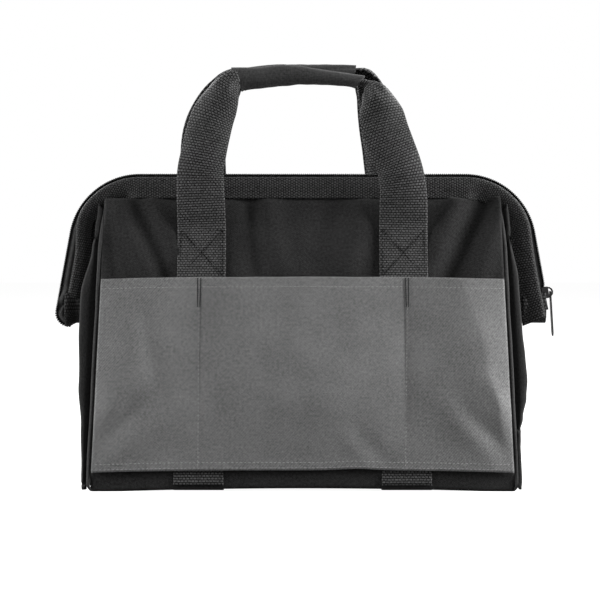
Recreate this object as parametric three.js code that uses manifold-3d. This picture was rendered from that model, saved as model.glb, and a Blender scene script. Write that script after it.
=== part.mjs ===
// A zippered tool bag: a cloth body on a stiff base, two hinged sides with pockets, a wide mouth on
// two U-shaped steel wires that pivot together at the ends, a coil zipper between them, and two
// webbing handles with a grip sleeve each. Lengths are in millimetres, X runs along the bag, Y runs
// from the front to the back, Z is up, and the origin is on the floor under the middle of the bag.
// The mouth is drawn shut, with the slider at its lower stop on the right.

import * as THREE from 'three';
import { mergeVertices } from 'three/addons/utils/BufferGeometryUtils.js';
import Module from 'manifold-3d';

const wasm = await Module();
wasm.setup();

// Sizes of the cloth body
const BASE_LENGTH = 322;
const BASE_DEPTH = 180;
const TOP_LENGTH = 313;
const SIDE_TOP_HEIGHT = 222.5;
const SIDE_TOP_OFFSET = 8;
const SIDE_CLOTH = 2.4;
const SIDE_BELLY = 4;
const PANEL_TOP_CUT = 2;
const END_CLOTH = 2;
const END_SWELL = 18;
const END_SWELL_RISE = 16;
const BASE_CLOTH = 2.4;
const BOARD_THICKNESS = 3;
const BOARD_INSET = 8;
const BASE_CORNER_RADIUS = 10;
const PIPING_RADIUS = 2.2;
const PIPING_CORNER_RADIUS = 9;
const FLAP_SWELL = 16;
const FLAP_TIP_WIDTH = 4;

// Sizes of the pockets and the sewn webbing
const POCKET_CLOTH = 1.6;
const POCKET_BOTTOM_HEIGHT = 15.5;
const POCKET_TOP_HEIGHT = 161;
const POCKET_ROOM = 9;
const POCKET_EDGE_INSET = 0.5;
const STRAP_WIDTH = 38;
const STRAP_THICKNESS = 1.6;
const STRAP_SPACING = 158;
const STRAP_TOP_HEIGHT = 198;

// Sizes of the mouth: frame wires, rim webbing and zipper
const WIRE_RADIUS = 1.8;
const RIM_STRAIGHT_HALF = 129.2;
const RIM_CORNER_RADIUS = 55;
const LEG_SPLAY_DEG = 10.5;
const RIM_WEBBING_THICKNESS = 1.4;
const RIM_WEBBING_DEPTH = 17.5;
const WING_WEBBING_DEPTH = 15;
const WING_TUCK_DEG = 9;
const TAPE_THICKNESS = 0.9;
const TAPE_DEPTH = 14;
const TOP_TAPE_SHOWING = 0.4;
const WING_TAPE_SHOWING = 6;
const COIL_WIDTH = 2.6;
const COIL_HEIGHT = 2;

// Sizes of the end pivots
const PIVOT_HEIGHT = 133;
const PIVOT_EYE_X = 182;
const EYE_RADIUS = 6.4;
const EYE_THICKNESS = 2;
const RIVET_RADIUS = 1.5;
const RIVET_HEAD_RADIUS = 5.6;
const RIVET_HEAD_THICKNESS = 1.4;
const PIVOT_PLAY = 3;
const WING_TAB_WIDTH = 17;
const WING_TAB_THICKNESS = 1.6;
const WING_TAB_LAP = 4;
const WING_TAB_TURN_DEG = 115;
const RIM_END_RISE = 9;
const WEBBING_END_RISE = 14;
const NECK_RISE = 10.5;

// Sizes of the slider and its pull
const SLIDER_RISE = 14.5;
const SLIDER_LENGTH = 9;
const SLIDER_WALL = 1.2;
const BAIL_INNER_RADIUS = 3;
const BAIL_WALL = 1.3;
const BAIL_WIDTH = 1.6;
const PULL_LENGTH = 36;
const PULL_WIDTH = 9;
const PULL_THICKNESS = 1;
const PULL_BAR = 1;
const PULL_SLOT_LENGTH = 7;
const PULL_LEAN_DEG = 3.5;

// Sizes of the handles
const HANDLE_TOP_HEIGHT = 320;
const HANDLE_STANDOFF = 11;
const GRIP_HALF_SPAN = 52;
const GRIP_OFFSET = 14;
const GRIP_HEIGHT = 18.4;
const GRIP_THICKNESS = 14;
const SLEEVE_CLOTH = 1.8;
const FOLDED_STRAP_WIDTH = 11.4;
const FOLDED_STRAP_THICKNESS = 4.8;
const HANDLE_FOLD_RUN = 38;
const HANDLE_FOLD_LEAD = 8;

// Clearances
const FIT = 0.3;
const TURN_GAP = 0.9;

// How finely the round and bent pieces are divided
const LEG_STEPS = 3;
const CORNER_STEPS = 9;
const STRAIGHT_STEPS = 8;
const HANDLE_LEG_STEPS = 13;
const GRIP_STEPS = 10;
const ROD_SIDES = 8;
const ROUND_SIDES = 12;
const GRIP_SIDES = 14;

// Finishes
const finishes = {
  blackCloth: { color: 0x2a2a2a, roughness: 0.85, metalness: 0 },
  greyCloth: { color: 0x6c6c6c, roughness: 0.9, metalness: 0 },
  webbing: { color: 0x333333, roughness: 0.8, metalness: 0 },
  board: { color: 0x3a3a3a, roughness: 0.7, metalness: 0 },
  coil: { color: 0x1c1c1c, roughness: 0.45, metalness: 0 },
  springSteel: { color: 0x9a9a9a, roughness: 0.35, metalness: 1 },
  blackenedMetal: { color: 0x323232, roughness: 0.4, metalness: 0.9 },
};

function finishNamed(name) {
  const { color, roughness, metalness } = finishes[name];
  return new THREE.MeshStandardMaterial({ color, roughness, metalness });
}

function piece(name, geometry, finish) {
  const mesh = new THREE.Mesh(geometry, finishNamed(finish));
  mesh.name = name;
  return mesh;
}

// Small helpers for numbers and solids

const radians = THREE.MathUtils.degToRad;
const mix = THREE.MathUtils.lerp;
const ease = (value) => THREE.MathUtils.smoothstep(value, 0, 1);

// Turns a geometry's triangles over where its volume would come out negative.
function facedOutward(geometry) {
  const solid = geometry.index ? geometry.toNonIndexed() : geometry;
  const position = solid.getAttribute('position');
  const corner = [new THREE.Vector3(), new THREE.Vector3(), new THREE.Vector3()];
  let volume = 0;
  for (let i = 0; i < position.count; i += 3) {
    corner.forEach((point, k) => point.fromBufferAttribute(position, i + k));
    volume += corner[0].dot(corner[1].clone().cross(corner[2]));
  }
  if (volume < 0) {
    for (let i = 0; i < position.count; i += 3) {
      corner.forEach((point, k) => point.fromBufferAttribute(position, i + k));
      position.setXYZ(i + 1, corner[2].x, corner[2].y, corner[2].z);
      position.setXYZ(i + 2, corner[1].x, corner[1].y, corner[1].z);
    }
  }
  solid.deleteAttribute('uv');
  solid.computeVertexNormals();
  return solid;
}

// A thick sheet: a box whose three directions, each from 0 to 1, are laid out in space by place.
function sheet(columns, rows, place) {
  const geometry = new THREE.BoxGeometry(1, 1, 1, columns, rows, 1);
  const position = geometry.getAttribute('position');
  for (let i = 0; i < position.count; i += 1) {
    const along = position.getX(i) + 0.5;
    const across = position.getY(i) + 0.5;
    const through = position.getZ(i) + 0.5;
    const point = place(along, across, through);
    position.setXYZ(i, point.x, point.y, point.z);
  }
  return facedOutward(geometry);
}

// A rod through a list of points: a cylinder with a ring of its side at each point. The points lie
// near a plane that faces along facing.
function rodThrough(points, radius, facing) {
  const last = points.length - 1;
  const rod = new THREE.CylinderGeometry(radius, radius, 1, ROD_SIDES, last);
  const position = rod.getAttribute('position');
  for (let i = 0; i < position.count; i += 1) {
    const k = Math.round((position.getY(i) + 0.5) * last);
    const before = points[Math.max(0, k - 1)];
    const after = points[Math.min(last, k + 1)];
    const tangent = after.clone().sub(before).normalize();
    const sideways = tangent.clone().cross(facing).normalize();
    const outward = sideways.clone().cross(tangent).normalize();
    const point = points[k].clone();
    point.addScaledVector(sideways, position.getX(i));
    point.addScaledVector(outward, position.getZ(i));
    position.setXYZ(i, point.x, point.y, point.z);
  }
  return facedOutward(rod);
}

// A round bar along X, from its low end to its high end.
function barAlongX(radius, low, high, y, z) {
  const bar = new THREE.CylinderGeometry(radius, radius, high - low, ROUND_SIDES);
  bar.rotateZ(Math.PI / 2);
  bar.translate((low + high) / 2, y, z);
  return bar;
}

function block(low, high) {
  const box = new THREE.BoxGeometry(high[0] - low[0], high[1] - low[1], high[2] - low[2]);
  box.translate((low[0] + high[0]) / 2, (low[1] + high[1]) / 2, (low[2] + high[2]) / 2);
  return box;
}

function toManifold(geometry) {
  const bare = geometry.clone();
  bare.deleteAttribute('normal');
  bare.deleteAttribute('uv');
  const merged = mergeVertices(bare, 1e-4);
  const vertProperties = new Float32Array(merged.getAttribute('position').array);
  const triVerts = new Uint32Array(merged.index.array);
  return new wasm.Manifold(new wasm.Mesh({ numProp: 3, vertProperties, triVerts }));
}

function fromManifold(manifold) {
  const { vertProperties, triVerts } = manifold.getMesh();
  const geometry = new THREE.BufferGeometry();
  geometry.setAttribute('position', new THREE.BufferAttribute(vertProperties, 3));
  geometry.setIndex(new THREE.BufferAttribute(triVerts, 1));
  return facedOutward(geometry);
}

// The front side's plane. It turns on the piping along its lower edge and leans in towards the
// mouth. The back side is the same pieces, turned half way round.

const HINGE_Y = -BASE_DEPTH / 2;
const HINGE_Z = PIPING_RADIUS;
const SIDE_RUN = BASE_DEPTH / 2 - SIDE_TOP_OFFSET;
const SIDE_RISE = SIDE_TOP_HEIGHT - HINGE_Z;
const SIDE_SLOPE = Math.atan2(SIDE_RUN, SIDE_RISE);
const SIDE_HEIGHT = Math.hypot(SIDE_RUN, SIDE_RISE);

// A point of the front side: x along the bag, up the slope from the hinge, and out of its face.
function onSide(x, up, out) {
  const y = HINGE_Y + up * Math.sin(SIDE_SLOPE) - out * Math.cos(SIDE_SLOPE);
  const z = HINGE_Z + up * Math.cos(SIDE_SLOPE) + out * Math.sin(SIDE_SLOPE);
  return new THREE.Vector3(x, y, z);
}

const slopeAt = (height) => (height - HINGE_Z) / Math.cos(SIDE_SLOPE);
const sideYAt = (height) => HINGE_Y + (height - HINGE_Z) * Math.tan(SIDE_SLOPE);
const sideHalfLength = (up) => mix(BASE_LENGTH, TOP_LENGTH, up / SIDE_HEIGHT) / 2;

function belly(x, up) {
  const lengthwise = Math.cos((Math.PI * x) / (2 * sideHalfLength(up)));
  return SIDE_BELLY * Math.max(0, lengthwise) * Math.sin((Math.PI * up) / SIDE_HEIGHT);
}

// The side's lower corners are rounded inside the piping's bend. The first few rows of the sheet
// follow the rounding and the others are spread evenly above it. The top corners are cut a little,
// to leave way for the rim's bend.
function sidePanel() {
  const low = PIPING_RADIUS + FIT;
  const high = SIDE_HEIGHT - TURN_GAP;
  const radius = PIPING_CORNER_RADIUS;
  const cornerShare = 0.3;
  return sheet(10, 10, (along, across, through) => {
    const inCorner = Math.min(1, across / cornerShare);
    const above = Math.max(0, (across - cornerShare) / (1 - cornerShare));
    const up = mix(low + radius * inCorner ** 2, high, above);
    const cut = radius - Math.sqrt(radius ** 2 - (radius * (1 - inCorner ** 2)) ** 2);
    const topCut = PANEL_TOP_CUT * Math.max(0, across - 0.9) / 0.1;
    const x = mix(-1, 1, along) * (sideHalfLength(up) - cut - topCut);
    return onSide(x, up, belly(x, up) + mix(-0.5, 0.5, through) * SIDE_CLOTH);
  });
}

// How far a sewn strap's two faces stand out of the side's middle surface.
const STRAP_SEAT = SIDE_CLOTH / 2 + FIT;
const STRAP_FACE = STRAP_SEAT + STRAP_THICKNESS;

function sewnStrap(centre) {
  const low = PIPING_RADIUS + 2 * FIT;
  const high = slopeAt(STRAP_TOP_HEIGHT);
  return sheet(2, 10, (along, across, through) => {
    const up = mix(low, high, across);
    const x = centre + mix(-0.5, 0.5, along) * STRAP_WIDTH;
    return onSide(x, up, belly(x, up) + mix(STRAP_SEAT, STRAP_FACE, through));
  });
}

// The pocket cloth lies on the sewn straps at its two dividers and on the side at its ends, and
// stands off between them.
const DIVIDER_X = STRAP_SPACING / 2;
const POCKET_SEAT = STRAP_FACE + FIT;

function pocketStandoff(x, rise) {
  const end = sideHalfLength(0) - POCKET_EDGE_INSET;
  const distance = Math.abs(x);
  const span = distance < DIVIDER_X ? (distance + DIVIDER_X) / (2 * DIVIDER_X)
    : (distance - DIVIDER_X) / (end - DIVIDER_X);
  const swell = Math.sqrt(Math.max(0, Math.sin(Math.PI * span)));
  return POCKET_SEAT + POCKET_ROOM * swell * Math.min(1, 3 * rise);
}

function sidePocket() {
  return sheet(24, 4, (along, across, through) => {
    const z = mix(POCKET_BOTTOM_HEIGHT, POCKET_TOP_HEIGHT, across);
    const roughUp = slopeAt(z);
    const x = mix(-1, 1, along) * (sideHalfLength(roughUp) - POCKET_EDGE_INSET);
    const out = belly(x, roughUp) + pocketStandoff(x, across) + through * POCKET_CLOTH;
    return onSide(x, roughUp - out * Math.tan(SIDE_SLOPE), out);
  });
}

// Piping runs down one end of the side, along the lower edge and up the other end.
function sidePiping() {
  const outset = FIT + PIPING_RADIUS;
  const bend = PIPING_CORNER_RADIUS + outset;
  const low = sideHalfLength(0) + outset;
  const high = sideHalfLength(SIDE_HEIGHT) + outset;
  const top = SIDE_HEIGHT - 3 * PIPING_RADIUS;
  const bendSteps = 5;
  const rightHalf = [onSide(0, 0, 0), onSide((low - bend) / 2, 0, 0)];
  for (let i = 0; i <= bendSteps; i += 1) {
    const angle = (i / bendSteps) * (Math.PI / 2);
    rightHalf.push(onSide(low - bend + bend * Math.sin(angle), bend - bend * Math.cos(angle), 0));
  }
  rightHalf.push(onSide(mix(low, high, 0.5), mix(bend, top, 0.5), 0), onSide(high, top, 0));
  const leftHalf = rightHalf.slice(1).map((point) => new THREE.Vector3(-point.x, point.y, point.z));
  const facing = onSide(0, 0, 1).sub(onSide(0, 0, 0));
  return rodThrough([...leftHalf.reverse(), ...rightHalf], PIPING_RADIUS, facing);
}

// The mouth's U-shaped line, in the X-Z plane: the seat of the zipper's coil. It climbs the left
// wing, follows the top, and goes down the right wing.

const FOLD_RADIUS = WIRE_RADIUS + FIT + RIM_WEBBING_THICKNESS;
const TAPE_NEAR = (COIL_WIDTH - 2 * TAPE_THICKNESS) / 2;
const TAPE_FAR = TAPE_NEAR + TAPE_THICKNESS;
const FOLD_OFFSET = TAPE_FAR + FIT + FOLD_RADIUS;
const TOP_LEAN = Math.asin((SIDE_TOP_OFFSET - FOLD_OFFSET) / (RIM_WEBBING_DEPTH - FOLD_RADIUS));
const RIM_RISE = FOLD_RADIUS + (RIM_WEBBING_DEPTH - FOLD_RADIUS) * Math.cos(TOP_LEAN);
const RIM_TOP = SIDE_TOP_HEIGHT + RIM_RISE + TOP_TAPE_SHOWING;
const LEG_SPLAY = radians(LEG_SPLAY_DEG);
const CORNER_Z = RIM_TOP - RIM_CORNER_RADIUS;
const LEG_TOP_X = RIM_STRAIGHT_HALF + RIM_CORNER_RADIUS * Math.cos(LEG_SPLAY);
const LEG_TOP_Z = CORNER_Z + RIM_CORNER_RADIUS * Math.sin(LEG_SPLAY);
const legXAt = (height) => LEG_TOP_X + (LEG_TOP_Z - height) * Math.tan(LEG_SPLAY);
const RIM_END = PIVOT_HEIGHT + RIM_END_RISE;

const legTop = (side) => new THREE.Vector2(side * LEG_TOP_X, LEG_TOP_Z);
const legEnd = (side) => new THREE.Vector2(side * legXAt(RIM_END), RIM_END);
const cornerTop = (side) => new THREE.Vector2(side * RIM_STRAIGHT_HALF, RIM_TOP);
const rimCorner = (side, start, end) => new THREE.EllipseCurve(
  side * RIM_STRAIGHT_HALF, CORNER_Z, RIM_CORNER_RADIUS, RIM_CORNER_RADIUS, start, end, true,
);

const mouthLine = new THREE.CurvePath();
mouthLine.add(new THREE.LineCurve(legEnd(-1), legTop(-1)));
mouthLine.add(rimCorner(-1, Math.PI - LEG_SPLAY, Math.PI / 2));
mouthLine.add(new THREE.LineCurve(cornerTop(-1), cornerTop(1)));
mouthLine.add(rimCorner(1, Math.PI / 2, LEG_SPLAY));
mouthLine.add(new THREE.LineCurve(legTop(1), legEnd(1)));

// A station of the mouth line: its point, the direction out of the mouth, how far the zipper's
// tape has come out of the rim there, from 0 along the top to 1 down a leg, and how far the rim is
// tucked in behind the side's corner, which it has to clear early in the bend.
function mouthStation(along) {
  const point = mouthLine.getPointAt(along);
  const tangent = mouthLine.getTangentAt(along);
  const fall = Math.abs(tangent.y);
  const wing = ease((fall - 0.5) / (Math.cos(LEG_SPLAY) - 0.5));
  const tuck = ease(fall / 0.17);
  return { point, outX: -tangent.y, outZ: tangent.x, wing, tuck };
}

// The stations between two shares of the mouth line's length, closer together round the corners.
function rimStations(first, last) {
  const steps = [LEG_STEPS, CORNER_STEPS, STRAIGHT_STEPS, CORNER_STEPS, LEG_STEPS];
  const lengths = mouthLine.curves.map((curve) => curve.getLength());
  const total = mouthLine.getLength();
  const shares = [first];
  let start = 0;
  steps.forEach((count, k) => {
    const end = start + lengths[k] / total;
    const low = Math.max(start, first);
    const high = Math.min(end, last);
    for (let i = 1; i <= count; i += 1) shares.push(mix(low, high, i / count));
    start = end;
  });
  return shares.map(mouthStation);
}

// A sheet laid along the mouth line: place gets a station where a plain sheet gets its share.
function rimSheet(first, last, rows, place) {
  const stations = rimStations(first, last);
  const columns = stations.length - 1;
  return sheet(columns, rows, (along, across, through) => (
    place(stations[Math.round(along * columns)], across, through)
  ));
}

// A point of the front rim at a station: out from the mouth line, and y across the bag.
function onRim(station, out, y) {
  const { point, outX, outZ } = station;
  return new THREE.Vector3(point.x + out * outX, y, point.y + out * outZ);
}

// The share of the mouth line's length from its end up to a height on the leg.
function legShare(height) {
  return (height - RIM_END) / Math.cos(LEG_SPLAY) / mouthLine.getLength();
}

const tapeShowing = (station) => mix(TOP_TAPE_SHOWING, WING_TAPE_SHOWING, station.wing);
const foldCentre = (station) => -tapeShowing(station) - FOLD_RADIUS;

// The rim webbing is folded over the wire, and its two leaves come together below it. Across runs
// from the outer leaf's edge, over the fold, to the inner leaf's edge.
function foldedSection(across, through, leafLength) {
  const leafShare = 0.25;
  const middle = WIRE_RADIUS + FIT + RIM_WEBBING_THICKNESS / 2;
  const edge = RIM_WEBBING_THICKNESS / 2 + FIT;
  const shift = mix(-0.5, 0.5, through) * RIM_WEBBING_THICKNESS;
  const onOuterLeaf = across < leafShare;
  const onInnerLeaf = across > 1 - leafShare;
  if (onOuterLeaf || onInnerLeaf) {
    const toEdge = onOuterLeaf ? 1 - across / leafShare : 1 - (1 - across) / leafShare;
    const side = onOuterLeaf ? 1 : -1;
    return { down: toEdge * leafLength, out: side * (mix(middle, edge, toEdge) + shift) };
  }
  const angle = ((across - leafShare) / (1 - 2 * leafShare)) * Math.PI;
  const radius = middle + shift;
  return { down: -radius * Math.sin(angle), out: radius * Math.cos(angle) };
}

function rimWebbing() {
  const cut = legShare(PIVOT_HEIGHT + WEBBING_END_RISE);
  return rimSheet(cut, 1 - cut, 8, (station, across, through) => {
    const lean = mix(TOP_LEAN, -radians(WING_TUCK_DEG), station.tuck);
    const depth = mix(RIM_WEBBING_DEPTH, WING_WEBBING_DEPTH, station.tuck);
    const { down, out } = foldedSection(across, through, depth - FOLD_RADIUS);
    const outward = foldCentre(station) - down * Math.cos(lean) + out * Math.sin(lean);
    const y = -FOLD_OFFSET - down * Math.sin(lean) - out * Math.cos(lean);
    return onRim(station, outward, y);
  });
}

// How much of the mouth line a zipper half leaves bare at each end. The back half stops above the
// slider, so that it can come away from it.
function zipperCut(isBack) {
  return isBack ? legShare(PIVOT_HEIGHT + SLIDER_RISE + SLIDER_LENGTH / 2 + TURN_GAP) : 0;
}

function zipperTape(isBack) {
  const cut = zipperCut(isBack);
  return rimSheet(cut, 1 - cut, 1, (station, across, through) => (
    onRim(station, -across * TAPE_DEPTH, -mix(TAPE_NEAR, TAPE_FAR, through))
  ));
}

function zipperCoil(isBack) {
  const cut = zipperCut(isBack);
  const near = FIT / 2;
  const far = near + COIL_WIDTH;
  return rimSheet(cut, 1 - cut, 1, (station, across, through) => (
    onRim(station, FIT + across * COIL_HEIGHT, -mix(near, far, through))
  ));
}

// The frame wire runs in the webbing's fold and ends in a flat eye at each pivot. The back frame's
// eyes lie outside the front frame's, and their holes leave play for the opened pivot.
function frameWire(isBack) {
  const points = rimStations(0, 1)
    .map((station) => onRim(station, foldCentre(station), -FOLD_OFFSET));
  let solid = toManifold(rodThrough(points, WIRE_RADIUS, new THREE.Vector3(0, -1, 0)));
  const layer = isBack ? EYE_THICKNESS + FIT : 0;
  const hole = isBack ? RIVET_RADIUS + PIVOT_PLAY : RIVET_RADIUS + FIT / 2;
  for (const side of [-1, 1]) {
    const ends = [side * (PIVOT_EYE_X + layer), side * (PIVOT_EYE_X + layer + EYE_THICKNESS)];
    const low = Math.min(...ends);
    const high = Math.max(...ends);
    const disc = barAlongX(EYE_RADIUS, low, high, 0, PIVOT_HEIGHT);
    const neck = block(
      [low, -FOLD_OFFSET - WIRE_RADIUS + FIT, PIVOT_HEIGHT],
      [high, -FOLD_OFFSET + WIRE_RADIUS, PIVOT_HEIGHT + NECK_RISE],
    );
    const bore = barAlongX(hole, low - 1, high + 1, 0, PIVOT_HEIGHT);
    solid = solid.add(toManifold(disc).add(toManifold(neck)).subtract(toManifold(bore)));
  }
  return fromManifold(solid);
}

// A rivet through both eyes: an inner head, a shank and a broad outer head.
function pivotRivet(side) {
  const inner = PIVOT_EYE_X - FIT;
  const outer = PIVOT_EYE_X + 2 * (EYE_THICKNESS + FIT);
  const head = RIVET_HEAD_THICKNESS;
  const profile = [
    new THREE.Vector2(0, inner - head),
    new THREE.Vector2(RIVET_HEAD_RADIUS * 0.8, inner - head),
    new THREE.Vector2(RIVET_HEAD_RADIUS, inner - head / 2),
    new THREE.Vector2(RIVET_HEAD_RADIUS, inner),
    new THREE.Vector2(RIVET_RADIUS, inner),
    new THREE.Vector2(RIVET_RADIUS, outer),
    new THREE.Vector2(RIVET_HEAD_RADIUS, outer),
    new THREE.Vector2(RIVET_HEAD_RADIUS, outer + head / 2),
    new THREE.Vector2(RIVET_HEAD_RADIUS * 0.8, outer + head),
    new THREE.Vector2(0, outer + head),
  ];
  const rivet = new THREE.LatheGeometry(profile, ROUND_SIDES);
  rivet.rotateZ(-side * Math.PI / 2);
  rivet.translate(0, 0, PIVOT_HEIGHT);
  return facedOutward(rivet);
}

// The webbing tab turned under the pivot: it is lapped over the rim webbing's lower end, hangs in
// front of the eyes, passes below them and comes part of the way up behind.
const TAB_INNER_RADIUS = EYE_RADIUS + PIVOT_PLAY;
const TAB_OUTER_RADIUS = TAB_INNER_RADIUS + WING_TAB_THICKNESS;

function wingTab(side) {
  const arcEnd = -Math.PI + radians(WING_TAB_TURN_DEG);
  const outerEdge = legXAt(RIM_END) + FIT;
  const straightShare = 0.25;
  const lapTop = WEBBING_END_RISE + WING_TAB_LAP;
  return sheet(8, 1, (along, across, through) => {
    const radius = mix(TAB_INNER_RADIUS, TAB_OUTER_RADIUS, through);
    const x = side * (outerEdge - mix(0, WING_TAB_WIDTH, across));
    if (along < straightShare) {
      const above = (1 - along / straightShare) * lapTop;
      return new THREE.Vector3(x, -radius, PIVOT_HEIGHT + above);
    }
    const turn = (along - straightShare) / (1 - straightShare);
    const angle = mix(-Math.PI, arcEnd, turn);
    return new THREE.Vector3(x, radius * Math.cos(angle), PIVOT_HEIGHT + radius * Math.sin(angle));
  });
}

// The end panels swell out between the two sides' piping and stop below the pivots' tabs.
const PIPING_SEAT = (PIPING_RADIUS + FIT) / Math.cos(SIDE_SLOPE);
const END_TOP = PIVOT_HEIGHT - TAB_OUTER_RADIUS - 2 * TURN_GAP;
const END_LOW = PIPING_RADIUS + FIT;

function endSwell(height) {
  return END_SWELL * (1 - Math.exp(-(height + PIPING_RADIUS) / END_SWELL_RISE));
}

function endPanel(side) {
  return sheet(12, 7, (along, across, through) => {
    const z = mix(END_LOW, END_TOP, across);
    const half = -sideYAt(z) - PIPING_SEAT;
    const place = mix(-1, 1, along);
    const seat = sideHalfLength(slopeAt(z)) + FIT;
    const swell = endSwell(z) * (1 - Math.abs(place) ** 2.4);
    return new THREE.Vector3(side * (seat + swell + through * END_CLOTH), place * half, z);
  });
}

// Above each end panel a flap of the same cloth stays with each side. It is one long fold that
// swells out beside the piping, narrows towards the rim and turns in behind the wing.
function endFlap(side) {
  const low = END_TOP + TURN_GAP;
  const inner = -FOLD_OFFSET - FOLD_RADIUS - 2 * FIT;
  const high = HINGE_Z + (inner - FLAP_TIP_WIDTH - PIPING_SEAT - HINGE_Y) / Math.tan(SIDE_SLOPE);
  return sheet(6, 5, (along, across, through) => {
    const z = mix(low, high, across);
    const outer = sideYAt(z) + PIPING_SEAT;
    const seat = sideHalfLength(slopeAt(z)) + FIT;
    const height = (FLAP_SWELL * (SIDE_TOP_HEIGHT - z)) / (SIDE_TOP_HEIGHT - low);
    const x = side * (seat + height * Math.sin(Math.PI * along) + through * END_CLOTH);
    return new THREE.Vector3(x, mix(outer, inner, along), z);
  });
}

// The base: two webbing straps on the floor, the base cloth over them and a stiff board inside.
const BASE_LOW = STRAP_THICKNESS + FIT;
const BOARD_LOW = BASE_LOW + BASE_CLOTH + FIT;

function roundedPlate(length, depth, thickness, low) {
  const x = length / 2;
  const y = depth / 2;
  const r = BASE_CORNER_RADIUS;
  const shape = new THREE.Shape();
  shape.absarc(x - r, y - r, r, 0, Math.PI / 2, false);
  shape.absarc(-x + r, y - r, r, Math.PI / 2, Math.PI, false);
  shape.absarc(-x + r, -y + r, r, Math.PI, 1.5 * Math.PI, false);
  shape.absarc(x - r, -y + r, r, 1.5 * Math.PI, 2 * Math.PI, false);
  const settings = { depth: thickness, bevelEnabled: false, curveSegments: 5 };
  const plate = new THREE.ExtrudeGeometry(shape, settings);
  plate.translate(0, 0, low);
  return facedOutward(plate);
}

function basePanel() {
  const depth = BASE_DEPTH - 2 * (PIPING_RADIUS + FIT);
  const length = BASE_LENGTH - 2 * FIT;
  return roundedPlate(length, depth, BASE_CLOTH, BASE_LOW);
}

function baseBoard() {
  const depth = BASE_DEPTH - 2 * (PIPING_RADIUS + BOARD_INSET);
  const length = BASE_LENGTH - 2 * BOARD_INSET;
  return roundedPlate(length, depth, BOARD_THICKNESS, BOARD_LOW);
}

function baseStrap(centre) {
  const half = BASE_DEPTH / 2 - PIPING_RADIUS - FIT;
  return facedOutward(block(
    [centre - STRAP_WIDTH / 2, -half, 0],
    [centre + STRAP_WIDTH / 2, half, STRAP_THICKNESS],
  ));
}

// A handle's middle line climbs from a sewn strap's top, stands clear of the rim, leans in to the
// grip and comes down the same way.
const STRAP_TOP_UP = slopeAt(STRAP_TOP_HEIGHT);
const STRAP_TOP = onSide(DIVIDER_X, STRAP_TOP_UP, belly(DIVIDER_X, STRAP_TOP_UP) + STRAP_FACE);
const HANDLE_FOOT_Z = STRAP_TOP.z + 2 * FIT;

function handleLine() {
  const foot = STRAP_TOP.y + STRAP_THICKNESS / 2;
  const clear = -FOLD_OFFSET - FOLD_RADIUS - HANDLE_STANDOFF;
  const climb = HANDLE_TOP_HEIGHT - RIM_TOP;
  const leg = (side) => [
    new THREE.Vector3(side * DIVIDER_X, foot, HANDLE_FOOT_Z),
    new THREE.Vector3(side * DIVIDER_X, (foot + clear) / 2, mix(HANDLE_FOOT_Z, RIM_TOP, 0.5)),
    new THREE.Vector3(side * DIVIDER_X, clear, RIM_TOP),
    new THREE.Vector3(side * mix(DIVIDER_X, GRIP_HALF_SPAN, 0.34), clear, RIM_TOP + 0.4 * climb),
    new THREE.Vector3(side * mix(DIVIDER_X, GRIP_HALF_SPAN, 0.74),
      mix(clear, -GRIP_OFFSET, 0.55), RIM_TOP + 0.74 * climb),
    new THREE.Vector3(side * (GRIP_HALF_SPAN - 5), -GRIP_OFFSET, RIM_TOP + 0.94 * climb),
    new THREE.Vector3(side * GRIP_HALF_SPAN * 0.45, -GRIP_OFFSET, HANDLE_TOP_HEIGHT),
  ];
  return new THREE.CatmullRomCurve3([...leg(-1), ...leg(1).reverse()], false, 'centripetal');
}

// A ring of a handle at a share of its line: its point and the three directions there.
function handleRing(line, share) {
  const point = line.getPointAt(share);
  const tangent = line.getTangentAt(share);
  const upward = new THREE.Vector3(0, -1, 0).cross(tangent).normalize();
  const outward = tangent.clone().cross(upward).normalize();
  return { share, point, upward, outward };
}

// The rings of a handle: down one leg, along the grip and up the other leg. The sleeve is built on
// the grip's own rings, so that it bends as the strap in it does.
function handleRings() {
  const line = handleLine();
  let grip = 0;
  while (line.getPointAt(grip).x < -GRIP_HALF_SPAN) grip += 0.002;
  const shares = [];
  for (let i = 0; i < HANDLE_LEG_STEPS; i += 1) shares.push((i / HANDLE_LEG_STEPS) * grip);
  for (let i = 0; i <= GRIP_STEPS; i += 1) shares.push(mix(grip, 1 - grip, i / GRIP_STEPS));
  for (let i = 1; i <= HANDLE_LEG_STEPS; i += 1) {
    shares.push(mix(1 - grip, 1, i / HANDLE_LEG_STEPS));
  }
  const rings = shares.map((share) => handleRing(line, share));
  return { rings, grip, length: line.getLength() };
}

function besideRing(ring, up, out) {
  return ring.point.clone().addScaledVector(ring.upward, up).addScaledVector(ring.outward, out);
}

function handleStrap() {
  const { rings, grip, length } = handleRings();
  const last = rings.length - 1;
  return sheet(last, 2, (along, across, through) => {
    const ring = rings[Math.round(along * last)];
    const toEnd = Math.min(ring.share, 1 - ring.share);
    const toGrip = (grip - toEnd) * length - HANDLE_FOLD_LEAD;
    const folded = ease(1 - toGrip / HANDLE_FOLD_RUN);
    const width = mix(STRAP_WIDTH, FOLDED_STRAP_WIDTH, folded);
    const thickness = mix(STRAP_THICKNESS, FOLDED_STRAP_THICKNESS, folded);
    return besideRing(ring, (across - 0.5) * width, (through - 0.5) * thickness);
  });
}

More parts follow.
